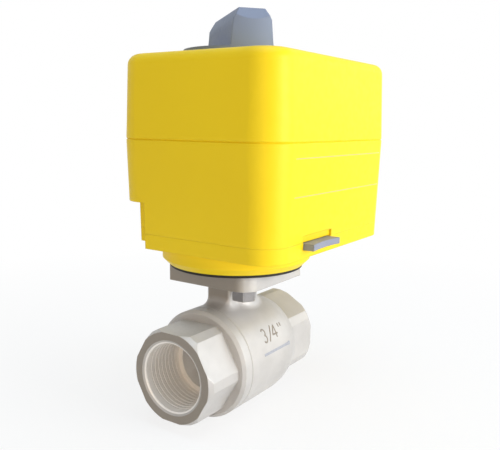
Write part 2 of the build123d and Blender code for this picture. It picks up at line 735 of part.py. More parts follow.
# Two hexagon bolts that clamp the mounting base to the flange from below
with BuildPart() as flange_bolts:
    with BuildSketch(Plane.XY.offset(FLANGE_Z)) as heads:
        with Locations(*BOLT_SPOTS):
            RegularPolygon(BOLT_HEAD_AF / 2, 6, major_radius=False, rotation=30)
    extrude(heads.sketch, amount=-BOLT_HEAD_H)
    chamfer(flange_bolts.faces().group_by(Axis.Z)[0].edges(), length=0.4)
    for spot in BOLT_SPOTS:
        disc(FLANGE_Z, FLANGE_Z + BOLT_LENGTH, BOLT_R, spot)
flange_bolts.part.label = "flange_bolts"
export_step(flange_bolts.part, "parts/flange_bolts.step")

# Mounting base: round turret on the flange, shallow tray that the actuator clips onto
with BuildPart() as mounting_base:
    disc(TURRET_Z, TRAY_Z + 1, TURRET_R)
    turret_edge = mounting_base.edges().group_by(Axis.Z)[0]
    chamfer(turret_edge, length=TURRET_CHAMFER)
    drafted_block(TRAY_Z, HOUSING_Z)
    drafted_block(TRAY_FLOOR, HOUSING_Z, inset=TRAY_WALL, mode=Mode.SUBTRACT)
    guide_x = LATCH_HALF_W + GAP + GUIDE_W / 2
    guide_y = BOX_LOW_Y + TRAY_WALL + 1
    with Locations((STEM_X - guide_x, guide_y, TRAY_FLOOR), (STEM_X + guide_x, guide_y, TRAY_FLOOR)):
        Box(
            GUIDE_W,
            GUIDE_LENGTH,
            LATCH_TOP - TRAY_FLOOR,
            align=(Align.CENTER, Align.MIN, Align.MIN),
        )
    with Locations((STEM_X, SPRING_STOP_Y, TRAY_FLOOR)):
        Box(
            2 * LATCH_TAIL_HALF_W,
            GUIDE_W,
            LATCH_TOP - TRAY_FLOOR,
            align=(Align.CENTER, Align.MIN, Align.MIN),
        )
    for peg_y in (-PEG_Y, PEG_Y):
        disc(TRAY_FLOOR, HOUSING_Z - SNUG, PEG_R + PEG_WALL, (STEM_X + PEG_X, peg_y))
        disc(HOUSING_Z - PEG_H - GAP, HOUSING_Z, PEG_R + SNUG, (STEM_X + PEG_X, peg_y), Mode.SUBTRACT)
    corner_notch(TRAY_Z, HOUSING_Z, TRAY_WALL, TRAY_Z - 1, HOUSING_Z + 1)
    with Locations((STEM_X, -LATCH_REACH, TRAY_FLOOR)):
        Box(
            2 * (LATCH_HALF_W + GAP),
            LATCH_REACH - SPIGOT_R,
            HOUSING_Z - TRAY_FLOOR,
            align=(Align.CENTER, Align.MIN, Align.MIN),
            mode=Mode.SUBTRACT,
        )
    disc(HOUSING_Z - SPIGOT_H - GAP, HOUSING_Z, SPIGOT_R + SNUG, mode=Mode.SUBTRACT)
    disc(TURRET_Z, HOUSING_Z, COUPLER_R + GAP, mode=Mode.SUBTRACT)
    with Locations((STEM_X, LATCH_TAIL_Y - LATCH_LUG_T - GAP, TRAY_FLOOR)):
        Box(
            2 * (LATCH_LUG_HALF_W + GAP),
            SPRING_STOP_Y - LATCH_TAIL_Y + LATCH_LUG_T + GAP,
            2 * (SPRING_R + SPRING_WIRE_R + GAP),
            align=(Align.CENTER, Align.MIN, Align.CENTER),
            mode=Mode.SUBTRACT,
        )
    for spot in BOLT_SPOTS:
        disc(TURRET_Z, TRAY_Z + 1, BOLT_R + SNUG, spot, Mode.SUBTRACT)
mounting_base.part.label = "mounting_base"
export_step(mounting_base.part, "parts/mounting_base.step")

# Base housing: lower shell of the actuator with its spigot, screw columns and corner notch
with BuildPart() as base_housing:
    drafted_block(HOUSING_Z, SEAM_Z)
    chamfer(base_housing.faces().sort_by(Axis.Z)[-1].edges(), length=SEAM_LIP)
    drafted_block(FLOOR_TOP, SEAM_Z - RIM_H, inset=WALL, mode=Mode.SUBTRACT)
    drafted_block(SEAM_Z - RIM_H - RIM_W + WALL, SEAM_Z, inset=RIM_W, mode=Mode.SUBTRACT)
    corner_notch(HOUSING_Z, NOTCH_TOP + WALL, WALL, HOUSING_Z - 1, NOTCH_TOP)
    for spot in COVER_SPOTS:
        disc(FLOOR_TOP - 1, SEAM_Z, COVER_BOSS_R, spot)
        disc(HOUSING_Z, SEAM_Z, COVER_SCREW_R + SNUG, spot, Mode.SUBTRACT)
        disc(HOUSING_Z, HOUSING_Z + COVER_SCREW_HEAD_H + GAP, COVER_SCREW_HEAD_R + GAP, spot, Mode.SUBTRACT)
    for spot in PLATE_SPOTS:
        disc(FLOOR_TOP - 1, LOW_PLATE_Z, POST_R, spot)
        disc(FLOOR_TOP - 1, LOW_PLATE_Z, SMALL_SCREW_R + SNUG, spot, Mode.SUBTRACT)
    with BuildSketch(Plane.XZ) as spigot_profile:
        with BuildLine():
            Polyline(
                (STEM_X + SPIGOT_BORE_R, FLOOR_TOP),
                (STEM_X + SPIGOT_BORE_R, HOUSING_Z - SPIGOT_H),
                (STEM_X + SPIGOT_R, HOUSING_Z - SPIGOT_H),
                (STEM_X + SPIGOT_R, LATCH_Z - GAP),
                (STEM_X + SPIGOT_GROOVE_R, LATCH_Z - GAP),
                (STEM_X + SPIGOT_GROOVE_R, HOUSING_Z),
                (STEM_X + SPIGOT_R, HOUSING_Z),
                (STEM_X + SPIGOT_R, FLOOR_TOP),
                close=True,
            )
        make_face()
    revolve(spigot_profile.sketch, axis=Axis((STEM_X, 0, 0), (0, 0, 1)))
    disc(HOUSING_Z - SPIGOT_H, FLOOR_TOP, SPIGOT_BORE_R, mode=Mode.SUBTRACT)
    for peg_y in (-PEG_Y, PEG_Y):
        disc(HOUSING_Z - PEG_H, HOUSING_Z, PEG_R, (STEM_X + PEG_X, peg_y))
    with Locations((STEM_X, BOX_LOW_Y, HOUSING_Z)):
        Box(
            2 * (LATCH_HALF_W + LATCH_RECESS_SIDE),
            2 * (inset_at(HOUSING_Z) + LATCH_RECESS_DEPTH),
            2 * LATCH_RECESS_H,
            mode=Mode.SUBTRACT,
        )
    disc(NOTCH_TOP, NOTCH_TOP + WALL, GROMMET_NECK_R, INLET_SPOT, Mode.SUBTRACT)
    disc(NOTCH_TOP, NOTCH_TOP + GROMMET_RIM_T, GROMMET_R, INLET_SPOT, Mode.SUBTRACT)
    with BuildSketch(Plane.XY.offset(SEAM_Z)) as seal_track:
        with Locations((BOX_X, BOX_Y)):
            RectangleRounded(
                BOX_WIDTH - RIM_W + RIM_SEAL_W,
                BOX_DEPTH - RIM_W + RIM_SEAL_W,
                BOX_CORNER_R - (RIM_W - RIM_SEAL_W) / 2,
            )
            RectangleRounded(
                BOX_WIDTH - RIM_W - RIM_SEAL_W,
                BOX_DEPTH - RIM_W - RIM_SEAL_W,
                BOX_CORNER_R - (RIM_W + RIM_SEAL_W) / 2,
                mode=Mode.SUBTRACT,
            )
    extrude(seal_track.sketch, amount=-RIM_SEAL_T, mode=Mode.SUBTRACT)
base_housing.part.label = "base_housing"
export_step(base_housing.part, "parts/base_housing.step")

# Seal cord in the track of the housing's rim
with BuildPart() as rim_seal:
    with BuildSketch(Plane.XY.offset(SEAM_Z - RIM_SEAL_T)) as seal_section:
        with Locations((BOX_X, BOX_Y)):
            RectangleRounded(
                BOX_WIDTH - RIM_W + RIM_SEAL_W - 2 * SNUG,
                BOX_DEPTH - RIM_W + RIM_SEAL_W - 2 * SNUG,
                BOX_CORNER_R - (RIM_W - RIM_SEAL_W) / 2 - SNUG,
            )
            RectangleRounded(
                BOX_WIDTH - RIM_W - RIM_SEAL_W + 2 * SNUG,
                BOX_DEPTH - RIM_W - RIM_SEAL_W + 2 * SNUG,
                BOX_CORNER_R - (RIM_W + RIM_SEAL_W) / 2 + SNUG,
                mode=Mode.SUBTRACT,
            )
    extrude(seal_section.sketch, amount=RIM_SEAL_T)
rim_seal.part.label = "rim_seal"
export_step(rim_seal.part, "parts/rim_seal.step")

# Rubber grommet in the roof of the notch, flush with its underside
with BuildPart() as cable_grommet:
    grommet_top = NOTCH_TOP + WALL + GROMMET_INNER_T
    disc(NOTCH_TOP, NOTCH_TOP + GROMMET_RIM_T, GROMMET_R - SNUG, INLET_SPOT)
    disc(NOTCH_TOP, NOTCH_TOP + WALL, GROMMET_NECK_R - SNUG, INLET_SPOT)
    disc(NOTCH_TOP + WALL, grommet_top, GROMMET_INNER_R, INLET_SPOT)
    disc(NOTCH_TOP, grommet_top, INLET_R, INLET_SPOT, Mode.SUBTRACT)
cable_grommet.part.label = "cable_grommet"
export_step(cable_grommet.part, "parts/cable_grommet.step")

# Top cover: drafted shell with a rounded top edge and a round recess for the knob
with BuildPart() as top_cover:
    drafted_block(SEAM_Z, COVER_TOP)
    fillet(top_cover.faces().sort_by(Axis.Z)[-1].edges(), radius=TOP_EDGE_R)
    chamfer(top_cover.faces().sort_by(Axis.Z)[0].edges(), length=SEAM_LIP)
    drafted_block(SEAM_Z, SEAM_Z + RIM_H, inset=RIM_W, mode=Mode.SUBTRACT)
    drafted_block(SEAM_Z + RIM_H, CEILING, inset=WALL, mode=Mode.SUBTRACT)
    fillet(top_cover.edges().filter_by_position(Axis.Z, CEILING - 0.1, CEILING + 0.1), TOP_EDGE_R - WALL)
    for spot in COVER_SPOTS:
        disc(SEAM_Z, CEILING, COVER_BOSS_R, spot)
        disc(SEAM_Z, SEAM_Z + COVER_SCREW_BITE + 1, COVER_SCREW_R + SNUG, spot, Mode.SUBTRACT)
    disc(RECESS_UNDER, CEILING + 1, KNOB_R + WALL)
    disc(RECESS_FLOOR, COVER_TOP, KNOB_R + GAP, mode=Mode.SUBTRACT)
    disc(RECESS_UNDER, RECESS_FLOOR, KNOB_HUB_R + RUN, mode=Mode.SUBTRACT)
top_cover.part.label = "top_cover"
export_step(top_cover.part, "parts/top_cover.step")

# Long screws that draw the cover down onto the housing from below
with BuildPart() as cover_screws:
    for spot in COVER_SPOTS:
        head_z = HOUSING_Z + COVER_SCREW_HEAD_H + GAP
        disc(head_z - COVER_SCREW_HEAD_H, head_z, COVER_SCREW_HEAD_R, spot)
        disc(head_z, SEAM_Z + COVER_SCREW_BITE, COVER_SCREW_R, spot)
        cross_slot(head_z - COVER_SCREW_HEAD_H, 1.3 * COVER_SCREW_HEAD_R, spot)
cover_screws.part.label = "cover_screws"
export_step(cover_screws.part, "parts/cover_screws.step")

# Release latch: curved push tongue, ring that hooks the spigot's groove and a spring seat
with BuildPart() as latch_button:
    with BuildSketch(Plane.XY.offset(LATCH_Z)) as latch_plan:
        with Locations((STEM_X, LATCH_RING_Y)):
            Circle(LATCH_RING_R)
        with Locations((STEM_X, -LATCH_REACH)):
            Rectangle(2 * LATCH_HALF_W, LATCH_REACH - SPIGOT_R, align=(Align.CENTER, Align.MIN))
        with Locations((STEM_X, LATCH_TAIL_Y)):
            Rectangle(2 * LATCH_TAIL_HALF_W, LATCH_RING_W, align=(Align.CENTER, Align.MAX))
        with Locations((STEM_X, LATCH_RING_Y)):
            Circle(LATCH_HOLE_R, mode=Mode.SUBTRACT)
        with BuildLine():
            ThreePointArc(
                (STEM_X - LATCH_HALF_W, -LATCH_REACH),
                (STEM_X, -LATCH_REACH + LATCH_SCALLOP),
                (STEM_X + LATCH_HALF_W, -LATCH_REACH),
            )
            Line((STEM_X + LATCH_HALF_W, -LATCH_REACH), (STEM_X - LATCH_HALF_W, -LATCH_REACH))
        make_face(mode=Mode.SUBTRACT)
    extrude(latch_plan.sketch, amount=LATCH_T)
    with Locations((STEM_X, LATCH_TAIL_Y, LATCH_TOP)):
        Box(
            2 * LATCH_LUG_HALF_W,
            LATCH_LUG_T,
            LATCH_TOP - TRAY_FLOOR + SPRING_R + SPRING_WIRE_R,
            align=(Align.CENTER, Align.MAX, Align.MAX),
        )
latch_button.part.label = "latch_button"
export_step(latch_button.part, "parts/latch_button.step")

# Spring behind the latch, between its lug and the end of the pocket in the tray
with BuildPart() as latch_spring:
    with BuildLine() as coil:
        Helix(
            pitch=(SPRING_LENGTH - 2 * SPRING_WIRE_R) / SPRING_TURNS,
            height=SPRING_LENGTH - 2 * SPRING_WIRE_R,
            radius=SPRING_R,
            center=(STEM_X, SPRING_Y + SPRING_WIRE_R, TRAY_FLOOR),
            direction=(0, 1, 0),
        )
    with BuildSketch(Plane(origin=coil.line @ 0, z_dir=coil.line % 0)) as wire:
        RegularPolygon(SPRING_WIRE_R, 6)
    sweep(wire.sketch, path=coil.line, is_frenet=True)
latch_spring.part.label = "latch_spring"
export_step(latch_spring.part, "parts/latch_spring.step")

# Gear plates with their bearing holes
with BuildPart() as low_plate:
    with BuildSketch(Plane.XY.offset(LOW_PLATE_Z)) as low_outline:
        plate_outline(PLATE_LEFT, PLATE_SMALL_CUT)
        with Locations(*PLATE_SPOTS):
            Circle(SMALL_SCREW_R + SNUG, mode=Mode.SUBTRACT)
        with Locations((STEM_X, 0)):
            Circle(BUSH_R + SNUG, mode=Mode.SUBTRACT)
        with Locations(IDLER_SPOT):
            Circle(AXLE_R + SNUG, mode=Mode.SUBTRACT)
    extrude(low_outline.sketch, amount=PLATE_T)
low_plate.part.label = "low_plate"
export_step(low_plate.part, "parts/low_plate.step")

with BuildPart() as high_plate:
    with BuildSketch(Plane.XY.offset(HIGH_PLATE_Z)) as high_outline:
        plate_outline(BOX_LOW_X + PLATE_INSET)
        with Locations(*PLATE_SPOTS):
            Circle(SMALL_SCREW_R + SNUG, mode=Mode.SUBTRACT)
        with Locations((STEM_X, 0)):
            Circle(BUSH_R + SNUG, mode=Mode.SUBTRACT)
        with Locations(IDLER_SPOT):
            Circle(AXLE_R + SNUG, mode=Mode.SUBTRACT)
        with Locations((MOTOR_X, MOTOR_Y)):
            Circle(MOTOR_BOSS_R + SNUG, mode=Mode.SUBTRACT)
            with PolarLocations(MOTOR_SCREW_PCR, MOTOR_SCREW_COUNT, MOTOR_SCREW_TURN):
                Circle(SMALL_SCREW_R + SNUG, mode=Mode.SUBTRACT)
    extrude(high_outline.sketch, amount=PLATE_T)
high_plate.part.label = "high_plate"
export_step(high_plate.part, "parts/high_plate.step")

# Spacers between the two plates
with BuildPart() as plate_spacers:
    for spot in PLATE_SPOTS:
        disc(LOW_PLATE_TOP, HIGH_PLATE_Z, SPACER_R, spot)
        disc(LOW_PLATE_TOP, HIGH_PLATE_Z, SMALL_SCREW_R + SNUG, spot, Mode.SUBTRACT)
plate_spacers.part.label = "plate_spacers"
export_step(plate_spacers.part, "parts/plate_spacers.step")

# Hexagon pillars: their threads hold the plates down, their heads carry the circuit board
with BuildPart() as board_pillars:
    with BuildSketch(Plane.XY.offset(HIGH_PLATE_TOP)) as pillar_section:
        with Locations(*PLATE_SPOTS):
            RegularPolygon(PILLAR_AF / 2, 6, major_radius=False)
    extrude(pillar_section.sketch, amount=BOARD_Z - HIGH_PLATE_TOP)
    for spot in PLATE_SPOTS:
        disc(FLOOR_TOP - 0.8, HIGH_PLATE_TOP, SMALL_SCREW_R, spot)
        disc(BOARD_Z - SMALL_SCREW_BITE - 1, BOARD_Z, SMALL_SCREW_R + SNUG, spot, Mode.SUBTRACT)
board_pillars.part.label = "board_pillars"
export_step(board_pillars.part, "parts/board_pillars.step")

with BuildPart() as board_screws:
    for spot in PLATE_SPOTS:
        disc(BOARD_TOP, BOARD_TOP + SMALL_HEAD_H, SMALL_HEAD_R, spot)
        disc(BOARD_Z - SMALL_SCREW_BITE, BOARD_TOP, SMALL_SCREW_R, spot)
        cross_slot(BOARD_TOP + SMALL_HEAD_H - CROSS_SLOT_DEPTH, 1.3 * SMALL_HEAD_R, spot)
board_screws.part.label = "board_screws"
export_step(board_screws.part, "parts/board_screws.step")

# Output shaft: coupler over the stem's square, journals, flats for the gear, squared top
with BuildPart() as output_shaft:
    coupler_z = TURRET_Z + COUPLER_LIFT
    coupler_top = coupler_z + COUPLER_H
    disc(coupler_z, coupler_top, COUPLER_R)
    disc(coupler_top, HUB_Z, OUTPUT_SHAFT_R)
    with BuildSketch(Plane.XY.offset(coupler_z)) as socket:
        with Locations((STEM_X, 0)):
            Rectangle(STEM_SQUARE + 2 * SNUG, STEM_SQUARE + 2 * SNUG)
            Circle(STEM_R + SNUG, mode=Mode.INTERSECT)
    extrude(socket.sketch, amount=STEM_TOP - coupler_z + SOCKET_SPARE, mode=Mode.SUBTRACT)
    with BuildSketch(Plane.XY.offset(OUTPUT_GEAR_Z)) as flats:
        with Locations((STEM_X, 0)):
            Circle(OUTPUT_SHAFT_R + 1)
            Rectangle(2 * OUTPUT_FLAT, 2 * OUTPUT_SHAFT_R + 4, mode=Mode.SUBTRACT)
    extrude(flats.sketch, amount=OUTPUT_FACE + GAP, mode=Mode.SUBTRACT)
    clip_z = HIGH_PLATE_TOP + BUSH_FLANGE_T + 0.2
    with Locations((STEM_X, 0, clip_z)):
        Cylinder(OUTPUT_SHAFT_R + 1, CIRCLIP_T + 0.1, align=ON_BASE, mode=Mode.SUBTRACT)
        Cylinder(OUTPUT_SHAFT_R - CIRCLIP_DEPTH, CIRCLIP_T + 0.1, align=ON_BASE)
    with BuildSketch(Plane.XY.offset(HUB_Z)) as squared:
        with Locations((STEM_X, 0)):
            Rectangle(SHAFT_SQUARE, SHAFT_SQUARE, rotation=KNOB_ANGLE)
            Circle(OUTPUT_SHAFT_R, mode=Mode.INTERSECT)
    extrude(squared.sketch, amount=SHAFT_TOP - HUB_Z)
output_shaft.part.label = "output_shaft"
export_step(output_shaft.part, "parts/output_shaft.step")

# Flanged bushes that carry the output shaft in the plates
with BuildPart() as bush_lower:
    disc(LOW_PLATE_Z - BUSH_FLANGE_T, LOW_PLATE_Z, BUSH_FLANGE_R)
    disc(LOW_PLATE_Z, LOW_PLATE_TOP, BUSH_R)
    disc(LOW_PLATE_Z - BUSH_FLANGE_T, LOW_PLATE_TOP, OUTPUT_SHAFT_R + RUN, mode=Mode.SUBTRACT)
bush_lower.part.label = "bush_lower"
export_step(bush_lower.part, "parts/bush_lower.step")

with BuildPart() as bush_upper:
    disc(HIGH_PLATE_TOP, HIGH_PLATE_TOP + BUSH_FLANGE_T, BUSH_FLANGE_R)
    disc(HIGH_PLATE_Z, HIGH_PLATE_TOP, BUSH_R)
    disc(HIGH_PLATE_Z, HIGH_PLATE_TOP + BUSH_FLANGE_T, OUTPUT_SHAFT_R + RUN, mode=Mode.SUBTRACT)
bush_upper.part.label = "bush_upper"
export_step(bush_upper.part, "parts/bush_upper.step")

# Open retaining clip above the upper bush
with BuildPart() as shaft_clip:
    disc(clip_z + SNUG, clip_z + SNUG + CIRCLIP_T - 0.1, CIRCLIP_R)
    disc(clip_z, clip_z + CIRCLIP_T, OUTPUT_SHAFT_R - CIRCLIP_DEPTH + SNUG, mode=Mode.SUBTRACT)
    with Locations((STEM_X, 0, clip_z)):
        Box(
            2 * CIRCLIP_R,
            CIRCLIP_MOUTH,
            CIRCLIP_T,
            align=(Align.MAX, Align.CENTER, Align.MIN),
            mode=Mode.SUBTRACT,
        )
shaft_clip.part.label = "shaft_clip"
export_step(shaft_clip.part, "parts/shaft_clip.step")

# Output gear, keyed to the shaft by two flats
with BuildPart() as output_gear:
    gear(OUTPUT_GEAR_Z, OUTPUT_GEAR_Z + OUTPUT_FACE, (STEM_X, 0), OUTPUT_TEETH, OUTPUT_TO_IDLER)
    with BuildSketch(Plane.XY.offset(OUTPUT_GEAR_Z)) as keyed_bore:
        with Locations((STEM_X, 0)):
            Circle(OUTPUT_SHAFT_R + SNUG)
            Rectangle(2 * OUTPUT_FLAT + 2 * SNUG, 2 * OUTPUT_SHAFT_R + 4, mode=Mode.INTERSECT)
    extrude(keyed_bore.sketch, amount=OUTPUT_FACE, mode=Mode.SUBTRACT)
    with BuildSketch(Plane.XY.offset(OUTPUT_GEAR_Z + OUTPUT_FACE)) as web_ring:
        with Locations((STEM_X, 0)):
            Circle(MODULE * OUTPUT_TEETH / 2 - 3.5)
            Circle(OUTPUT_SHAFT_R + 3, mode=Mode.SUBTRACT)
    extrude(web_ring.sketch, amount=-GEAR_WEB_DEPTH, mode=Mode.SUBTRACT)
output_gear.part.label = "output_gear"
export_step(output_gear.part, "parts/output_gear.step")

# Idler: a small pinion under a large wheel, turning on a fixed axle
with BuildPart() as idler_gear:
    disc(IDLER_Z, IDLER_TOP, AXLE_R + IDLER_HUB_WALL, IDLER_SPOT)
    gear(
        OUTPUT_GEAR_Z - FACE_EXTRA,
        OUTPUT_GEAR_Z + OUTPUT_FACE + FACE_EXTRA,
        IDLER_SPOT,
        IDLER_SMALL_TEETH,
        OUTPUT_TO_IDLER + facing_gap(IDLER_SMALL_TEETH),
    )
    gear(IDLER_LARGE_Z, IDLER_LARGE_Z + IDLER_FACE, IDLER_SPOT, IDLER_LARGE_TEETH, IDLER_TO_MOTOR)
    disc(IDLER_Z, IDLER_TOP, AXLE_R + RUN, IDLER_SPOT, Mode.SUBTRACT)
idler_gear.part.label = "idler_gear"
export_step(idler_gear.part, "parts/idler_gear.step")

with BuildPart() as idler_axle:
    disc(LOW_PLATE_Z, HIGH_PLATE_TOP, AXLE_R, IDLER_SPOT)
idler_axle.part.label = "idler_axle"
export_step(idler_axle.part, "parts/idler_axle.step")

# Gear motor: round can on the upper plate, boss down through it
with BuildPart() as gear_motor:
    disc(HIGH_PLATE_TOP, HIGH_PLATE_TOP + MOTOR_H, MOTOR_R, (MOTOR_X, MOTOR_Y))
    fillet(gear_motor.edges().group_by(Axis.Z)[-1], radius=MOTOR_EDGE_R)
    with Locations((MOTOR_X, MOTOR_Y, HIGH_PLATE_TOP + MOTOR_H * MOTOR_BEAD_SHARE)):
        Cylinder(MOTOR_R + 1, MOTOR_BEAD_W, align=ON_BASE, mode=Mode.SUBTRACT)
        Cylinder(MOTOR_R - MOTOR_BEAD_DEPTH, MOTOR_BEAD_W, align=ON_BASE)
    disc(HIGH_PLATE_Z, HIGH_PLATE_TOP, MOTOR_BOSS_R, (MOTOR_X, MOTOR_Y))
    disc(
        HIGH_PLATE_Z,
        HIGH_PLATE_TOP + MOTOR_BORE_DEPTH,
        MOTOR_SHAFT_R + RUN,
        (MOTOR_X, MOTOR_Y),
        Mode.SUBTRACT,
    )
    with Locations((MOTOR_X, MOTOR_Y, HIGH_PLATE_TOP)):
        with PolarLocations(MOTOR_SCREW_PCR, MOTOR_SCREW_COUNT, MOTOR_SCREW_TURN):
            Cylinder(
                SMALL_SCREW_R + SNUG,
                MOTOR_SCREW_BITE + GAP,
                align=ON_BASE,
                mode=Mode.SUBTRACT,
            )
gear_motor.part.label = "gear_motor"
export_step(gear_motor.part, "parts/gear_motor.step")

with BuildPart() as motor_screws:
    with Locations((MOTOR_X, MOTOR_Y, HIGH_PLATE_Z)):
        with PolarLocations(MOTOR_SCREW_PCR, MOTOR_SCREW_COUNT, MOTOR_SCREW_TURN):
            Cylinder(SMALL_HEAD_R, LOW_HEAD_H, align=(Align.CENTER, Align.CENTER, Align.MAX))
            Cylinder(SMALL_SCREW_R, PLATE_T + MOTOR_SCREW_BITE, align=ON_BASE)
motor_screws.part.label = "motor_screws"
export_step(motor_screws.part, "parts/motor_screws.step")

with BuildPart() as motor_shaft:
    disc(
        IDLER_LARGE_Z - 2 * FACE_EXTRA,
        HIGH_PLATE_TOP + MOTOR_BORE_DEPTH - GAP,
        MOTOR_SHAFT_R,
        (MOTOR_X, MOTOR_Y),
    )
motor_shaft.part.label = "motor_shaft"
export_step(motor_shaft.part, "parts/motor_shaft.step")

with BuildPart() as motor_pinion:
    gear(
        IDLER_LARGE_Z - FACE_EXTRA,
        IDLER_LARGE_Z + IDLER_FACE + FACE_EXTRA,
        (MOTOR_X, MOTOR_Y),
        MOTOR_TEETH,
        IDLER_TO_MOTOR + facing_gap(MOTOR_TEETH),
    )
    disc(
        IDLER_LARGE_Z - 2 * FACE_EXTRA,
        HIGH_PLATE_Z,
        MOTOR_SHAFT_R + RING_EASE,
        (MOTOR_X, MOTOR_Y),
        Mode.SUBTRACT,
    )
motor_pinion.part.label = "motor_pinion"
export_step(motor_pinion.part, "parts/motor_pinion.step")

# Circuit board on the pillars, above the motor
with BuildPart() as circuit_board:
    with BuildSketch(Plane.XY.offset(BOARD_Z)) as board_plan:
        plate_outline(BOX_LOW_X + PLATE_INSET)
        with Locations(*PLATE_SPOTS):
            Circle(SMALL_SCREW_R + SNUG, mode=Mode.SUBTRACT)
        with Locations((STEM_X, 0)):
            Circle(OUTPUT_SHAFT_R + 1, mode=Mode.SUBTRACT)
    extrude(board_plan.sketch, amount=BOARD_T)
circuit_board.part.label = "circuit_board"
export_step(circuit_board.part, "parts/circuit_board.step")

# Cam whose lobe presses one switch at each end of the quarter turn
with BuildPart() as limit_cam:
    with BuildSketch(Plane.XY.offset(CAM_Z)) as cam_plan:
        with Locations((STEM_X, 0)):
            Circle(CAM_R)
        half = radians(CAM_LOBE_HALF)
        ramp = 1.7 * half
        with BuildLine():
            ThreePointArc(
                (STEM_X - CAM_LOBE_R * cos(half), CAM_LOBE_R * sin(half)),
                (STEM_X - CAM_LOBE_R, 0),
                (STEM_X - CAM_LOBE_R * cos(half), -CAM_LOBE_R * sin(half)),
            )
            Polyline(
                (STEM_X - CAM_LOBE_R * cos(half), -CAM_LOBE_R * sin(half)),
                (STEM_X - CAM_R * cos(ramp), -CAM_R * sin(ramp)),
                (STEM_X - CAM_R * cos(ramp), CAM_R * sin(ramp)),
                (STEM_X - CAM_LOBE_R * cos(half), CAM_LOBE_R * sin(half)),
            )
        make_face()
        with Locations((STEM_X, 0)):
            Circle(OUTPUT_SHAFT_R + SNUG, mode=Mode.SUBTRACT)
    extrude(cam_plan.sketch, amount=CAM_H)
limit_cam.part.label = "limit_cam"
export_step(limit_cam.part, "parts/limit_cam.step")


def position_switch(turn):
    """Add a small lever switch on the board, its lever towards the cam at the angle turn."""
    lever_x = CAM_LOBE_R + LEVER_GAP
    facing = Plane(
        origin=(STEM_X, 0, BOARD_TOP),
        x_dir=(cos(radians(turn)), sin(radians(turn)), 0),
        z_dir=(0, 0, 1),
    )
    with BuildSketch(facing) as body:
        with Locations((lever_x + SWITCH_STANDOFF, 0)):
            Rectangle(SWITCH_D, SWITCH_L, align=(Align.MIN, Align.CENTER))
    extrude(body.sketch, amount=SWITCH_H)
    with BuildSketch(facing.offset((SWITCH_H - LEVER_W) / 2)) as lever:
        with BuildLine():
            Polyline(
                (lever_x, SWITCH_L / 2),
                (lever_x + LEVER_T, SWITCH_L / 2),
                (lever_x + LEVER_T, -SWITCH_L / 2 + LEVER_FOOT + LEVER_T),
                (lever_x + SWITCH_STANDOFF + 0.2, -SWITCH_L / 2 + LEVER_FOOT + LEVER_T),
                (lever_x + SWITCH_STANDOFF + 0.2, -SWITCH_L / 2 + LEVER_FOOT),
                (lever_x, -SWITCH_L / 2 + LEVER_FOOT),
                close=True,
            )
        make_face()
        with Locations((lever_x + LEVER_T, 0)):
            Rectangle(SWITCH_STANDOFF, 1.2, align=(Align.MIN, Align.CENTER))
    extrude(lever.sketch, amount=LEVER_W)


with BuildPart() as switch_open:
    position_switch(180)
switch_open.part.label = "switch_open"
export_step(switch_open.part, "parts/switch_open.step")

with BuildPart() as switch_closed:
    position_switch(90)
switch_closed.part.label = "switch_closed"
export_step(switch_closed.part, "parts/switch_closed.step")

# Relay, capacitor and terminal block on the board
with BuildPart() as relay:
    with Locations((MOTOR_X + RELAY_DX, MOTOR_Y + RELAY_DY, BOARD_TOP)):
        Box(*RELAY, align=ON_BASE)
    fillet(relay.edges().filter_by(Axis.Z), radius=0.8)
relay.part.label = "relay"
export_step(relay.part, "parts/relay.step")

with BuildPart() as capacitor:
    capacitor_base = (MOTOR_X + CAPACITOR_DX, MOTOR_Y + CAPACITOR_DY, BOARD_TOP + CAPACITOR_R)
    with Locations(Location(capacitor_base, (0, 90, 0))):
        Cylinder(CAPACITOR_R, CAPACITOR_L, align=ON_BASE)
    fillet(capacitor.edges().group_by(Axis.X)[-1], radius=0.5)
capacitor.part.label = "capacitor"
export_step(capacitor.part, "parts/capacitor.step")

with BuildPart() as terminal_block:
    terminal_l = TERMINAL_WAYS * TERMINAL_PITCH
    terminal_x = STEM_X + TERMINAL_DX
    terminal_y = TERMINAL_DY
    with Locations((terminal_x, terminal_y, BOARD_TOP)):
        Box(terminal_l, TERMINAL_D, TERMINAL_H, align=ON_BASE)
    chamfer(terminal_block.faces().sort_by(Axis.Z)[-1].edges().filter_by(Axis.X), length=1.2)
    with Locations((terminal_x, terminal_y, BOARD_TOP + TERMINAL_H)):
        with GridLocations(TERMINAL_PITCH, 1, TERMINAL_WAYS, 1):
            Cylinder(
                TERMINAL_SCREW_R,
                3,
                align=(Align.CENTER, Align.CENTER, Align.MAX),
                mode=Mode.SUBTRACT,
            )
    with Locations((terminal_x, terminal_y + TERMINAL_D / 2, BOARD_TOP + 3)):
        with GridLocations(TERMINAL_PITCH, 1, TERMINAL_WAYS, 1):
            Box(
                TERMINAL_MOUTH,
                5,
                TERMINAL_MOUTH,
                align=(Align.CENTER, Align.MAX, Align.CENTER),
                mode=Mode.SUBTRACT,
            )
terminal_block.part.label = "terminal_block"
export_step(terminal_block.part, "parts/terminal_block.step")

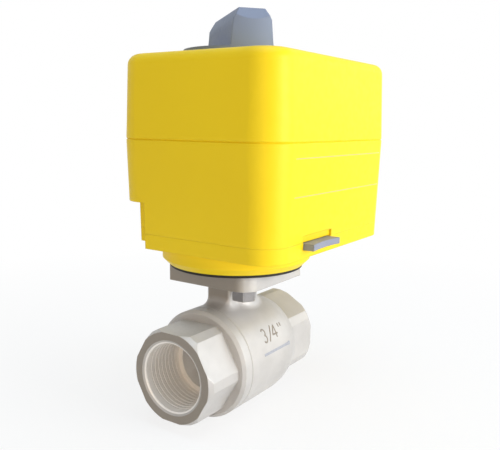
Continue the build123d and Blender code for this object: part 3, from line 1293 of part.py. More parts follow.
# Manual knob: disc in the cover's recess, bar grip across it and hub down to the shaft
with BuildPart() as manual_knob:
    disc(DISC_TOP - 0.01, DISC_TOP + GRIP_H, KNOB_R)
    grip_plane = Plane(
        origin=(STEM_X, 0, DISC_TOP - 1),
        x_dir=(cos(radians(KNOB_ANGLE)), sin(radians(KNOB_ANGLE)), 0),
        z_dir=(sin(radians(KNOB_ANGLE)), -cos(radians(KNOB_ANGLE)), 0),
    )
    end_fall = GRIP_SHOULDER * (KNOB_R + 1 - GRIP_TOP_HALF_L) / (KNOB_R - GRIP_TOP_HALF_L)
    with BuildSketch(grip_plane) as side_view:
        with BuildLine():
            Polyline(
                (-KNOB_R - 1, 0),
                (-KNOB_R - 1, GRIP_H + 1 - end_fall),
                (-GRIP_TOP_HALF_L, GRIP_H + 1),
                (GRIP_TOP_HALF_L, GRIP_H + 1),
                (KNOB_R + 1, GRIP_H + 1 - end_fall),
                (KNOB_R + 1, 0),
                close=True,
            )
        make_face()
    extrude(side_view.sketch, amount=KNOB_R, both=True, mode=Mode.INTERSECT)
    across_plane = Plane(
        origin=(STEM_X, 0, DISC_TOP - 1),
        x_dir=(-sin(radians(KNOB_ANGLE)), cos(radians(KNOB_ANGLE)), 0),
        z_dir=(cos(radians(KNOB_ANGLE)), sin(radians(KNOB_ANGLE)), 0),
    )
    shoulder_half = GRIP_HALF_W - (GRIP_H - GRIP_SHOULDER) * tan(radians(GRIP_DRAFT))
    with BuildSketch(across_plane) as end_view:
        with BuildLine():
            Polyline(
                (-GRIP_HALF_W, 0),
                (-shoulder_half, GRIP_H + 1 - GRIP_SHOULDER),
                (-GRIP_TOP_HALF_W, GRIP_H + 1),
                (GRIP_TOP_HALF_W, GRIP_H + 1),
                (shoulder_half, GRIP_H + 1 - GRIP_SHOULDER),
                (GRIP_HALF_W, 0),
                close=True,
            )
        make_face()
    extrude(end_view.sketch, amount=KNOB_R + 2, both=True, mode=Mode.INTERSECT)
    disc(DISC_Z, DISC_TOP, KNOB_R)
    disc(HUB_Z, DISC_Z, KNOB_HUB_R)
    ring_z = RECESS_UNDER - GAP - KNOB_RING_T
    seal_z = (RECESS_UNDER + RECESS_FLOOR) / 2
    with Locations((STEM_X, 0, ring_z)):
        Cylinder(KNOB_HUB_R + 1, KNOB_RING_T, align=ON_BASE, mode=Mode.SUBTRACT)
        Cylinder(KNOB_HUB_R - KNOB_RING_DEPTH, KNOB_RING_T, align=ON_BASE)
    with Locations((STEM_X, 0, seal_z)):
        Cylinder(KNOB_HUB_R + 1, 2 * KNOB_SEAL_R + 0.2, mode=Mode.SUBTRACT)
        Cylinder(KNOB_HUB_R - 2 * KNOB_SEAL_R, 2 * KNOB_SEAL_R + 0.2)
    with BuildSketch(Plane.XY.offset(HUB_Z)) as knob_socket:
        with Locations((STEM_X, 0)):
            Rectangle(SHAFT_SQUARE + 2 * SNUG, SHAFT_SQUARE + 2 * SNUG, rotation=KNOB_ANGLE)
            Circle(OUTPUT_SHAFT_R + SNUG, mode=Mode.INTERSECT)
    extrude(knob_socket.sketch, amount=SHAFT_TOP - HUB_Z + 0.2, mode=Mode.SUBTRACT)
manual_knob.part.label = "manual_knob"
export_step(manual_knob.part, "parts/manual_knob.step")

with BuildPart() as knob_ring:
    disc(ring_z + RING_EASE, ring_z + KNOB_RING_T - RING_EASE, KNOB_RING_R)
    disc(ring_z, ring_z + KNOB_RING_T, KNOB_HUB_R - KNOB_RING_DEPTH + SNUG, mode=Mode.SUBTRACT)
    with Locations((STEM_X, 0, ring_z)):
        Box(
            2 * KNOB_RING_R,
            KNOB_HUB_R,
            KNOB_RING_T,
            align=(Align.MAX, Align.CENTER, Align.MIN),
            mode=Mode.SUBTRACT,
        )
knob_ring.part.label = "knob_ring"
export_step(knob_ring.part, "parts/knob_ring.step")

with BuildPart() as knob_seal:
    ring((STEM_X, 0, seal_z), (0, 0, 1), KNOB_HUB_R - KNOB_SEAL_R, KNOB_SEAL_R - RING_EASE)
knob_seal.part.label = "knob_seal"
export_step(knob_seal.part, "parts/knob_seal.step")
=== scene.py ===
"""Looks of a motorized ball valve: finishes, port threads, marks, light and camera."""
import logging
import math
from collections.abc import Sequence
from dataclasses import dataclass
from enum import Enum

import bpy
from mathutils import Matrix, Vector


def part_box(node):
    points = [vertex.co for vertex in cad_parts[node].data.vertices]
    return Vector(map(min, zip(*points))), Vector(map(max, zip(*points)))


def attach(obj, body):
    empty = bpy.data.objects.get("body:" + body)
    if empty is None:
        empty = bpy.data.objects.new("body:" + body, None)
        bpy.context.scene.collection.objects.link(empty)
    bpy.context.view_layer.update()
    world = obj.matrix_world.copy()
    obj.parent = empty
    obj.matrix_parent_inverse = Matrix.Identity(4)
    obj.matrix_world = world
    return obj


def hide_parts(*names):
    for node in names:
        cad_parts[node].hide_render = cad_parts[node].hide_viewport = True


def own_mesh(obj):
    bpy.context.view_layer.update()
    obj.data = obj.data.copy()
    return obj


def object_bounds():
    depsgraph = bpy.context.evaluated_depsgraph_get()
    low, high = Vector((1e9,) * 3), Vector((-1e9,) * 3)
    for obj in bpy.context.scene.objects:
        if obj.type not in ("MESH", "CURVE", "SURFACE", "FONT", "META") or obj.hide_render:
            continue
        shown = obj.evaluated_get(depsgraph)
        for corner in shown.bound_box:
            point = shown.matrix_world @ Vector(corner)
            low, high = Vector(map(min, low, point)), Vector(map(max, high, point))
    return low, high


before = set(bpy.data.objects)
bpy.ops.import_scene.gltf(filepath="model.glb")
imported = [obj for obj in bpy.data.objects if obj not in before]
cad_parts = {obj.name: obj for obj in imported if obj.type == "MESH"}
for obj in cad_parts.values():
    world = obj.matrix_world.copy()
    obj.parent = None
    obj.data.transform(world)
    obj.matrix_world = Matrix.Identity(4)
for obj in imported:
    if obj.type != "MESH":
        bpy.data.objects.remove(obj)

LOG = logging.getLogger("valve_scene")
MM = 0.001
CAD_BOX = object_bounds()

# The body that stands still, on which every piece made here rides.
VALVE_BODY = "valve"

# Soft shading of the solids: corners this near, in metres, are one, and edges past this angle stay sharp.
SOFT_SHADING = "soft_shading"
WELD_DISTANCE = 2e-6
SHARP_ANGLE = math.radians(28)

# The sockets of a Mix node that blends colours.
COLOUR_FACTOR, COLOUR_A, COLOUR_B, COLOUR_RESULT = 0, 6, 7, 2
WHITE = (1.0, 1.0, 1.0, 1.0)

Node = bpy.types.Node
Socket = bpy.types.NodeSocket
Spot = tuple[float, float]
Point = tuple[float, float, float]
Colour = tuple[float, float, float, float]
Value = Socket | bpy.types.Material | float | str | Point | Colour


class Slot(Enum):
    """The names of material slots in the record, which the strokes made here keep."""

    NICKEL = "nickel"
    GREY = "grey_latch"
    STEEL = "steel"


class Axis(Enum):
    """The directions of the valve: along the pipe, across it, and up the stem."""

    PIPE = "X"
    ACROSS = "Y"
    STEM = "Z"


class Kind(Enum):
    """The kinds of input that a geometry tree can have."""

    NUMBER = "NodeSocketFloat"
    MATERIAL = "NodeSocketMaterial"
    SHAPE = "NodeSocketGeometry"


def linear(hex_colour: str) -> Colour:
    """Turns an sRGB colour into linear values.

    Args:
        hex_colour: six hexadecimal digits, with or without a leading hash.

    Returns:
        Red, green, blue and an alpha of 1.
    """
    digits = hex_colour.lstrip("#")
    values = [int(digits[i:i + 2], 16) / 255 for i in (0, 2, 4)]
    curve = [v / 12.92 if v <= 0.04045 else ((v + 0.055) / 1.055) ** 2.4 for v in values]
    return (curve[0], curve[1], curve[2], 1.0)


class Nodes:
    """A node tree, with short calls that add nodes and feed their inputs."""

    def __init__(self, tree: bpy.types.NodeTree) -> None:
        """Keeps the tree that the nodes are added to."""
        self.tree = tree

    def feed(self, socket: Socket, value: Value) -> None:
        """Links an input to another node's socket, or sets it to a constant.

        Args:
            socket: the input.
            value: what it gets.
        """
        if isinstance(value, Socket):
            self.tree.links.new(value, socket)
        else:
            socket.default_value = value

    def supply(self, node: Node, inputs: dict[str, Value]) -> None:
        """Feeds several inputs of a node.

        Args:
            node: the node.
            inputs: what each input gets, by its name with underscores for spaces.
        """
        for name, value in inputs.items():
            self.feed(node.inputs[name.replace("_", " ")], value)

    def add(self, kind: str, settings: dict[str, str | int] | None = None, **inputs: Value) -> Node:
        """Adds a node.

        Args:
            kind: its type.
            settings: the properties to set on it.
            inputs: what its inputs get, by their names with underscores for spaces.

        Returns:
            The node.
        """
        node = self.tree.nodes.new(kind)
        for key, value in (settings or {}).items():
            setattr(node, key, value)
        self.supply(node, inputs)
        return node

    def operate(self, kind: str, operation: str, a: Value, b: Value) -> Node:
        """Adds a node that works on two values.

        Args:
            kind: its type.
            operation: what it does, in its own word.
            a: the first value.
            b: the second one, which an operation on one value leaves alone.

        Returns:
            The node.
        """
        node = self.add(kind, {"operation": operation})
        self.feed(node.inputs[0], a)
        self.feed(node.inputs[1], b)
        return node

    def calc(self, operation: str, a: Value, b: Value = 0.0) -> Socket:
        """Returns the result of an operation on one or two numbers."""
        return self.operate("ShaderNodeMath", operation, a, b).outputs["Value"]

    def remap(self, value: Socket, low: float, high: float, to_low: float = 0.0,
              to_high: float = 1.0) -> Socket:
        """Moves a value from one span to another and clamps it there.

        Args:
            value: the value.
            low: the near end of its span.
            high: the far end of its span.
            to_low: what the near end becomes.
            to_high: what the far end becomes.

        Returns:
            The moved value.
        """
        node = self.add("ShaderNodeMapRange")
        for i, given in enumerate((value, low, high, to_low, to_high)):
            self.feed(node.inputs[i], given)
        return node.outputs["Result"]


@dataclass(frozen=True)
class Grain:
    """A noise: its features per metre, its layers of detail and the weight of the finer ones.

    Patches made of it fade in over its span of levels.
    """

    scale: float
    detail: float = 2.0
    rough: float = 0.5
    span: Spot = (0.3, 0.7)


class Shader(Nodes):
    """A material's nodes, with short calls for the ones that the finishes share."""

    # The cosines, between the rounded and the true normal, at which an edge begins and is full.
    EDGE_SPAN = (0.99, 0.80)
    EDGE_SAMPLES = 4

    # What the smoothest patches of a finish have off its roughness.
    SMOOTHEST = -0.05

    # A Wave node's phase in radians for each metre of its scaled coordinates.
    WAVE_PHASE = 20.0

    def __init__(self, name: str) -> None:
        """Starts a material with a Principled surface.

        Args:
            name: the material's name.
        """
        self.material = bpy.data.materials.new(name)
        self.material.use_nodes = True
        super().__init__(self.material.node_tree)
        self.tree.nodes.clear()
        self.bsdf = self.add("ShaderNodeBsdfPrincipled")
        self.out = self.add("ShaderNodeOutputMaterial", Surface=self.bsdf.outputs["BSDF"])
        self.place = self.add("ShaderNodeTexCoord").outputs["Object"]

    def surface(self, **inputs: Value) -> None:
        """Feeds inputs of the Principled surface, named with underscores for spaces."""
        self.supply(self.bsdf, inputs)

    def normal(self) -> Socket:
        """Returns the surface's own normal."""
        return self.add("ShaderNodeNewGeometry").outputs["Normal"]

    def part_of(self, vector: Socket, axis: Axis) -> Socket:
        """Returns how far a vector goes along an axis."""
        return self.add("ShaderNodeSeparateXYZ", Vector=vector).outputs[axis.value]

    def stretched(self, scale: Point) -> Socket:
        """Returns the object's coordinates multiplied axis by axis."""
        return self.operate("ShaderNodeVectorMath", "MULTIPLY", self.place, scale).outputs["Vector"]

    def measure(self, operation: str, a: Socket, b: Value = (0.0, 0.0, 0.0)) -> Socket:
        """Returns the number that an operation on one or two vectors gives."""
        return self.operate("ShaderNodeVectorMath", operation, a, b).outputs["Value"]

    def noise(self, grain: Grain, place: Socket | None = None) -> Socket:
        """Makes a noise between 0 and 1.

        Args:
            grain: its size and detail.
            place: the coordinates that it reads, the object's own where none are given.

        Returns:
            The noise.
        """
        node = self.add("ShaderNodeTexNoise", Vector=self.place if place is None else place,
                        Scale=grain.scale, Detail=grain.detail, Roughness=grain.rough)
        return node.outputs["Fac"]

    def patches(self, grain: Grain, bare: float = 0.0, full: float = 1.0) -> Socket:
        """Returns patches made of a noise, with a value where none shows and a value for full ones."""
        return self.remap(self.noise(grain), *grain.span, bare, full)

    def within(self, value: Socket, limit: float, fade: float) -> Socket:
        """Returns 1 where a value is under a limit, and 0 where it is past it by the fade."""
        return self.remap(value, limit, limit + fade, 1.0, 0.0)

    def cells(self, scale: float) -> Socket:
        """Returns the distance to the centres of small cells, so many to the metre."""
        return self.add("ShaderNodeTexVoronoi", Vector=self.place, Scale=scale).outputs["Distance"]

    def rings(self, axis: Axis, pitch: float, wobble: float) -> Socket:
        """Makes the rings that a turning tool leaves about an axis.

        Args:
            axis: the axis.
            pitch: the distance between rings in metres.
            wobble: how far the rings are distorted.

        Returns:
            A wave between 0 and 1.
        """
        node = self.add("ShaderNodeTexWave", {"wave_type": "RINGS", "rings_direction": axis.value},
                        Vector=self.place, Scale=2 * math.pi / (self.WAVE_PHASE * pitch), Distortion=wobble)
        return node.outputs["Fac"]

    def blend(self, factor: Socket, a: Value, b: Value) -> Socket:
        """Turns one colour into another.

        Args:
            factor: how far it has turned, from 0 to 1.
            a: the colour at 0.
            b: the colour at 1.

        Returns:
            The blended colour.
        """
        node = self.add("ShaderNodeMix", {"data_type": "RGBA"})
        self.feed(node.inputs[COLOUR_FACTOR], factor)
        self.feed(node.inputs[COLOUR_A], a)
        self.feed(node.inputs[COLOUR_B], b)
        return node.outputs[COLOUR_RESULT]

    def plus(self, value: Value, mask: Socket, share: float) -> Socket:
        """Returns a value with a share of a mask added to it."""
        return self.calc("ADD", value, self.calc("MULTIPLY", mask, share))

    def uneven(self, roughness: float, grain: Grain, dullest: float) -> Socket:
        """Returns a roughness with patches in it, up to so much duller."""
        return self.calc("ADD", self.patches(grain, self.SMOOTHEST, dullest), roughness)

    def rounded(self, radius: float) -> Socket:
        """Returns a normal that rounds the edges by a radius in metres."""
        return self.add("ShaderNodeBevel", {"samples": self.EDGE_SAMPLES}, Radius=radius).outputs["Normal"]

    def edges(self, radius: float) -> Socket:
        """Finds the sharp edges.

        Args:
            radius: how far from an edge the mask reaches, in metres.

        Returns:
            A mask that is 1 on sharp edges and 0 on open faces.
        """
        turn = self.measure("DOT_PRODUCT", self.rounded(radius), self.normal())
        return self.remap(turn, *self.EDGE_SPAN)

    def facing(self, axis: Axis) -> Socket:
        """Returns how squarely the surface faces along an axis, from 0 to 1."""
        return self.calc("ABSOLUTE", self.part_of(self.normal(), axis))

    def bump(self, height: Socket, depth: float, strength: float, normal: Socket | None = None) -> Socket:
        """Gives the surface a relief.

        Args:
            height: the relief's height from 0 to 1.
            depth: the depth in metres that this stands for.
            strength: how much of it shows.
            normal: the normal that it is laid on, the surface's own where none is given.

        Returns:
            The bumped normal.
        """
        node = self.add("ShaderNodeBump", Strength=strength, Distance=depth, Height=height)
        if normal is not None:
            self.feed(node.inputs["Normal"], normal)
        return node.outputs["Normal"]


@dataclass(frozen=True)
class Finish:
    """A surface finish; each kind paints its own nodes. Lengths are in metres."""

    name: str
    colour: str
    shade: str
    roughness: float

    def paint(self, s: Shader) -> None:
        """Adds this finish's nodes to a shader."""
        raise NotImplementedError

    def material(self) -> bpy.types.Material:
        """Makes the finish's material the first time, and shares it after that.

        Returns:
            The material.
        """
        name = "finish_" + self.name
        made = bpy.data.materials.get(name)
        if made is None:
            shader = Shader(name)
            self.paint(shader)
            made = shader.material
        return made


@dataclass(frozen=True)
class ForgedPlate(Finish):
    """Nickel plate on a blasted forging whose ends were turned.

    A face that lies within the shoulder radius of the pipe's axis, and within the reach from the
    middle of the pipe, is left as forged. Of the others, those square to the pipe are turned: they
    get turning rings and a darker colour, which is painted shade. The bores are painted lighter,
    which is painted light.
    """

    metallic: float = 0.2
    # Painted shade: the darker colour that the faces square to the pipe turn to.
    turned: str = "#938B81"
    # Painted light: the lighter colour of the bores, which stand in shade.
    bore_painted_light: str = "#F5F1EC"
    bare: str = "#D6D1C9"
    depth: float = 2.2e-5
    strength: float = 0.7
    turning: float = 0.00022
    turning_height: float = 0.2
    wobble: float = 0.4
    edge: float = 0.0004
    shoulder: float = 0.0205
    shoulder_fade: float = 0.0005
    middle: float = 0.03475
    reach: float = 0.0338
    reach_fade: float = 0.0003
    square: Spot = (0.8, 0.999)
    bore: float = 0.0125
    bore_fade: float = 0.0002
    mottle: Grain = Grain(70, 3.0, 0.55, span=(0.35, 0.65))
    blast: Grain = Grain(5200, 3.0, 0.65)
    wear: Grain = Grain(400, span=(0.35, 0.6))
    wear_levels: Spot = (0.2, 0.8)
    sheen: Grain = Grain(900, 4.0)
    dullest: float = 0.08
    worn_sheen: float = -0.06
    machined_sheen: float = -0.03

    def machined(self, s: Shader, radius: Socket) -> Socket:
        """Finds the faces that were turned, which also take the painted shade.

        Args:
            s: the shader.
            radius: the distance from the pipe's axis.

        Returns:
            A mask that is 1 on turned faces, for their rings, their sheen and their painted shade.
        """
        along = s.calc("ABSOLUTE", s.calc("SUBTRACT", s.part_of(s.place, Axis.PIPE), self.middle))
        forged = s.calc("MULTIPLY", s.within(radius, self.shoulder, self.shoulder_fade),
                        s.within(along, self.reach, self.reach_fade))
        square = s.remap(s.facing(Axis.PIPE), *self.square)
        return s.calc("MULTIPLY", square, s.calc("SUBTRACT", 1.0, forged))

    def paint(self, s: Shader) -> None:
        """Adds the blasted grain, the turned end faces with painted shade, painted light in the bores and the
        worn edges.

        Args:
            s: the shader.
        """
        radius = s.measure("LENGTH", s.stretched((0.0, 1.0, 1.0)))
        machined = self.machined(s, radius)
        worn = s.calc("MULTIPLY", s.edges(self.edge), s.patches(self.wear, *self.wear_levels))
        tint = s.blend(s.patches(self.mottle), linear(self.shade), linear(self.colour))
        # Painted shade: the turned faces go darker.
        tint = s.blend(machined, tint, linear(self.turned))
        # Painted light: the bores go lighter.
        tint = s.blend(s.within(radius, self.bore, self.bore_fade), tint, linear(self.bore_painted_light))
        rings = s.calc("MULTIPLY", s.rings(Axis.PIPE, self.turning, self.wobble), self.turning_height)
        relief = s.blend(machined, s.noise(self.blast), rings)
        rough = s.plus(s.uneven(self.roughness, self.sheen, self.dullest), worn, self.worn_sheen)
        s.surface(
            Base_Color=s.blend(worn, tint, linear(self.bare)),
            Metallic=self.metallic,
            Roughness=s.plus(rough, machined, self.machined_sheen),
            Normal=s.bump(relief, self.depth, self.strength, s.rounded(self.edge)),
        )


@dataclass(frozen=True)
class TurnedMetal(Finish):
    """Bare or plated metal with fine tool marks about one axis."""

    axis: Axis = Axis.STEM
    pitch: float = 0.00025
    wobble: float = 0.6
    depth: float = 5e-6
    strength: float = 0.8
    metallic: float = 1.0
    edge: float = 0.00025
    wear: float = 0.7
    bare: str = "#EFEDE8"
    oil: Grain = Grain(160, 4.0, 0.6, span=(0.4, 0.62))
    break_up: Grain = Grain(2500)
    sheen: Grain = Grain(700, 4.0)
    dullest: float = 0.06
    worn_sheen: float = -0.1

    def paint(self, s: Shader) -> None:
        """Adds the tool marks, smudges of oil and bright edges.

        Args:
            s: the shader.
        """
        worn = s.calc("MULTIPLY", s.edges(self.edge), self.wear)
        marks = s.calc("MULTIPLY", s.rings(self.axis, self.pitch, self.wobble), s.noise(self.break_up))
        tint = s.blend(s.patches(self.oil), linear(self.colour), linear(self.shade))
        s.surface(
            Base_Color=s.blend(worn, tint, linear(self.bare)),
            Metallic=self.metallic,
            Roughness=s.plus(s.uneven(self.roughness, self.sheen, self.dullest), worn, self.worn_sheen),
            Normal=s.bump(marks, self.depth, self.strength, s.rounded(self.edge)),
        )


@dataclass(frozen=True)
class MouldedPlastic(Finish):
    """Injection-moulded plastic with a fine spark-eroded grain and rubbed edges."""

    depth: float = 2.2e-5
    strength: float = 0.75
    edge: float = 0.0005
    rub: float = 0.35
    specular: float = 0.45
    paler: Spot = (1.12, 0.04)
    drift: Grain = Grain(22, 2.0, 0.4)
    wear: Grain = Grain(300, 3.0, span=(0.35, 0.65))
    scuff: Grain = Grain(90, 6.0, 0.7, span=(0.62, 0.72))
    scuff_pull: Point = (1.0, 1.0, 4.5)
    eroded: Grain = Grain(2600, 3.0, 0.6)
    ripple: Grain = Grain(45)
    ripple_height: float = 1.5
    sheen: Grain = Grain(500, 4.0)
    dullest: float = 0.05
    scuffed_sheen: float = 0.06
    worn_sheen: float = -0.2

    def rubbed(self) -> Colour:
        """Returns the paler colour of a rubbed edge."""
        times, more = self.paler
        return tuple(min(1.0, v * times + more) for v in linear(self.colour)[:3]) + (1.0,)

    def paint(self, s: Shader) -> None:
        """Adds slow colour drift, grain, faint scuffs and rubbed edges.

        Args:
            s: the shader.
        """
        body = s.blend(s.patches(self.drift), linear(self.shade), linear(self.colour))
        worn = s.calc("MULTIPLY", s.edges(self.edge), s.patches(self.wear, 0.0, self.rub))
        scuff = s.remap(s.noise(self.scuff, s.stretched(self.scuff_pull)), *self.scuff.span)
        rough = s.plus(s.uneven(self.roughness, self.sheen, self.dullest), scuff, self.scuffed_sheen)
        s.surface(
            Base_Color=s.blend(worn, body, self.rubbed()),
            Roughness=s.plus(rough, worn, self.worn_sheen),
            Specular_IOR_Level=self.specular,
            Normal=s.bump(s.plus(s.noise(self.eroded), s.noise(self.ripple), self.ripple_height),
                          self.depth, self.strength, s.rounded(self.edge)),
        )


@dataclass(frozen=True)
class SoftRubber(Finish):
    """Moulded rubber with a dull bloom."""

    edge: float = 0.0003
    depth: float = 2.5e-5
    strength: float = 0.6
    specular: float = 0.35
    duller: float = 0.15
    bloom: Grain = Grain(240, 5.0, 0.65, span=(0.45, 0.7))
    pores: Grain = Grain(3200, 3.0)
    pits: float = 2400

    def paint(self, s: Shader) -> None:
        """Adds bloom, pores and soft edges.

        Args:
            s: the shader.
        """
        bloom = s.patches(self.bloom)
        s.surface(
            Base_Color=s.blend(bloom, linear(self.colour), linear(self.shade)),
            Roughness=s.remap(bloom, 0.0, 1.0, self.roughness, self.roughness + self.duller),
            Specular_IOR_Level=self.specular,
            Normal=s.bump(s.calc("ADD", s.noise(self.pores), s.cells(self.pits)), self.depth, self.strength,
                          s.rounded(self.edge)),
        )


@dataclass(frozen=True)
class Laminate(Finish):
    """Solder-masked board with tracks, pads and a bare glass edge."""

    track: float = 0.0013
    glass: str = "#9A9A6A"
    coat: float = 0.25
    depth: float = 2.5e-5
    strength: float = 0.8
    turn: Grain = Grain(60, 0.0, span=(0.49, 0.51))
    pads: Grain = Grain(110, 1.0, span=(0.47, 0.5))
    copper: Spot = (0.44, 0.5)
    level: Spot = (0.9, 0.95)
    sheen: Grain = Grain(800)
    dullest: float = 0.08

    def tracks(self, s: Shader, axis: Axis) -> Socket:
        """Returns stripes a track's pitch apart, counted along an axis, from 0 to 1."""
        return s.calc("FRACT", s.calc("DIVIDE", s.part_of(s.place, axis), self.track))

    def paint(self, s: Shader) -> None:
        """Adds tracks in patches that run along or across the board.

        Args:
            s: the shader.
        """
        turn = s.patches(self.turn)
        run = s.calc("ADD", s.calc("MULTIPLY", self.tracks(s, Axis.ACROSS), turn),
                     s.calc("MULTIPLY", self.tracks(s, Axis.PIPE), s.calc("SUBTRACT", 1.0, turn)))
        copper = s.calc("MULTIPLY", s.remap(run, *self.copper), s.patches(self.pads))
        top = s.remap(s.facing(Axis.STEM), *self.level)
        mask = s.blend(copper, linear(self.shade), linear(self.colour))
        s.surface(
            Base_Color=s.blend(top, linear(self.glass), mask),
            Roughness=s.uneven(self.roughness, self.sheen, self.dullest),
            Coat_Weight=self.coat,
            Normal=s.bump(copper, self.depth, self.strength),
        )


@dataclass(frozen=True)
class ShadedStroke(Finish):
    """A raised or printed stroke, dull and uneven."""

    metallic: float = 0.0
    depth: float = 1e-5
    strength: float = 0.6
    duller: float = 0.15
    tone: Grain = Grain(900, 4.0, 0.6, span=(0.35, 0.65))
    tooth: Grain = Grain(5000)

    def paint(self, s: Shader) -> None:
        """Adds uneven tone and a fine tooth.

        Args:
            s: the shader.
        """
        tone = s.patches(self.tone)
        s.surface(
            Base_Color=s.blend(tone, linear(self.colour), linear(self.shade)),
            Metallic=self.metallic,
            Roughness=s.remap(tone, 0.0, 1.0, self.roughness, self.roughness + self.duller),
            Normal=s.bump(s.noise(self.tooth), self.depth, self.strength),
        )


NICKEL = ForgedPlate("nickel", "#C5C2BF", "#B9B6B3", 0.42)
PLATED_BALL = TurnedMetal("plated_ball", "#E4E6E8", "#D4D6D9", 0.12, axis=Axis.PIPE, pitch=0.0004,
                          depth=1.5e-6)
SEAT = SoftRubber("seat", "#ECEAE4", "#E2DFD6", 0.42)
BLACK_RUBBER = SoftRubber("black_rubber", "#161616", "#26251F", 0.62)
YELLOW = MouldedPlastic("yellow_shell", "#F7D71A", "#F3D217", 0.46, specular=0.25)
KNOB_GREY = MouldedPlastic("grey_knob", "#7E89A0", "#768197", 0.52, rub=0.4, specular=0.2)
LATCH_GREY = MouldedPlastic("grey_latch", "#8F93A2", "#868A98", 0.5, rub=0.4, specular=0.25)
BOLT_STEEL = TurnedMetal("bolt_steel", "#8F8D8E", "#807E7F", 0.40, pitch=0.0004, depth=1e-5, metallic=0.35)
STEEL = TurnedMetal("steel", "#B9BABC", "#9C9C9D", 0.30)
GEAR_STEEL = TurnedMetal("gear_steel", "#A6A39B", "#7F776A", 0.34, depth=8e-6)
BRASS = TurnedMetal("bush_brass", "#B98F4A", "#8E6A32", 0.38)
MOTOR_CAN = TurnedMetal("motor_can", "#BFC1C0", "#A7A79B", 0.33, pitch=0.0005)
BOARD = Laminate("board_green", "#1F7A3E", "#0F4A28", 0.35)
BLACK_PLASTIC = MouldedPlastic("black_plastic", "#202124", "#17181A", 0.45, rub=0.3)
BLUE_PLASTIC = MouldedPlastic("blue_plastic", "#2458A8", "#1F4D95", 0.35)
CAN_ALUMINIUM = TurnedMetal("can_aluminium", "#C9CBCC", "#B4B6B8", 0.32, pitch=0.0003)
TERMINAL_GREEN = MouldedPlastic("terminal_green", "#2F8F4E", "#277C43", 0.42)
# The size mark's darker tone is painted shade of its raised strokes.
MARK_PAINTED_SHADE = ShadedStroke("mark_painted_shade", "#8B8278", "#989086", 0.5, metallic=0.1)
RAISED_RULE = ShadedStroke("mark_rule", "#A9ABB4", "#A0A2AB", 0.45, metallic=0.1)
INK = ShadedStroke("print_grey", "#B4AE86", "#BDB78E", 0.55)


class Geometry(Nodes):
    """A geometry node tree with named inputs, run once and kept as a plain mesh."""

    def __init__(self, name: str, source: str | None = None) -> None:
        """Starts a tree.

        Args:
            name: the tree's name.
            source: the name of its mesh input, where it has one.
        """
        super().__init__(bpy.data.node_groups.new(name, "GeometryNodeTree"))
        self.tree.interface.new_socket("Geometry", in_out="OUTPUT", socket_type=Kind.SHAPE.value)
        if source is not None:
            self.tree.interface.new_socket(source, in_out="INPUT", socket_type=Kind.SHAPE.value)
        self.into = self.add("NodeGroupInput")
        self.out = self.add("NodeGroupOutput")
        self.values: dict[str, Value] = {}

    def knob(self, label: str, kind: Kind, value: Value) -> Socket:
        """Adds a named input and keeps its value by the input's identifier.

        Args:
            label: the input's name.
            kind: what it takes.
            value: what it is set to.

        Returns:
            The socket that brings the value into the tree.
        """
        item = self.tree.interface.new_socket(label, in_out="INPUT", socket_type=kind.value)
        self.values[item.identifier] = value
        return self.into.outputs[label]

    def sweep(self, curve: Socket, radius: Socket, sides: int, scale: Value = 1.0) -> Socket:
        """Sweeps a round profile along a curve, with closed ends and smooth faces.

        Args:
            curve: the curve.
            radius: the profile's radius.
            sides: the number of its sides.
            scale: what the radius is multiplied by along the curve.

        Returns:
            The swept shape.
        """
        profile = self.add("GeometryNodeCurvePrimitiveCircle", Resolution=sides, Radius=radius)
        swept = self.add("GeometryNodeCurveToMesh", Curve=curve, Profile_Curve=profile.outputs["Curve"],
                         Scale=scale, Fill_Caps=True)
        smooth = self.add("GeometryNodeSetShadeSmooth", Geometry=swept.outputs[0], Shade_Smooth=True)
        return smooth.outputs[0]

    def finish(self, shape: Socket, material: bpy.types.Material) -> None:
        """Ends the tree with realized instances and a material.

        Args:
            shape: the finished shape.
            material: its material.
        """
        slot = self.knob("Material", Kind.MATERIAL, material)
        real = self.add("GeometryNodeRealizeInstances", Geometry=shape)
        dressed = self.add("GeometryNodeSetMaterial", Geometry=real.outputs[0], Material=slot)
        self.feed(self.out.inputs[0], dressed.outputs[0])

    def mesh(self, name: str, source: bpy.types.Mesh | None = None) -> bpy.types.Mesh:
        """Runs the tree and returns a plain mesh.

        Args:
            name: the mesh's name.
            source: a mesh to run it on, or None for an empty one.

        Returns:
            The evaluated mesh, with no modifier left.
        """
        carrier = bpy.data.objects.new(name + "_carrier", source or bpy.data.meshes.new(name + "_seed"))
        bpy.context.collection.objects.link(carrier)
        modifier = carrier.modifiers.new("shape", "NODES")
        modifier.node_group = self.tree
        for identifier, value in self.values.items():
            modifier[identifier] = value
        bpy.context.view_layer.update()
        shown = carrier.evaluated_get(bpy.context.evaluated_depsgraph_get())
        mesh = bpy.data.meshes.new_from_object(shown)
        mesh.name = name
        carrier.modifiers.clear()
        bpy.data.objects.remove(carrier)
        return mesh


def piece(name: str, mesh: bpy.types.Mesh) -> bpy.types.Object:
    """Makes a finished piece at the origin that rides on the valve.

    Args:
        name: the piece's name.
        mesh: its mesh, already in the row's frame.

    Returns:
        The new object.
    """
    made = bpy.data.objects.new(name, mesh)
    bpy.context.collection.objects.link(made)
    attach(made, VALVE_BODY)
    LOG.info("built %s: %d faces", name, len(mesh.polygons))
    return made


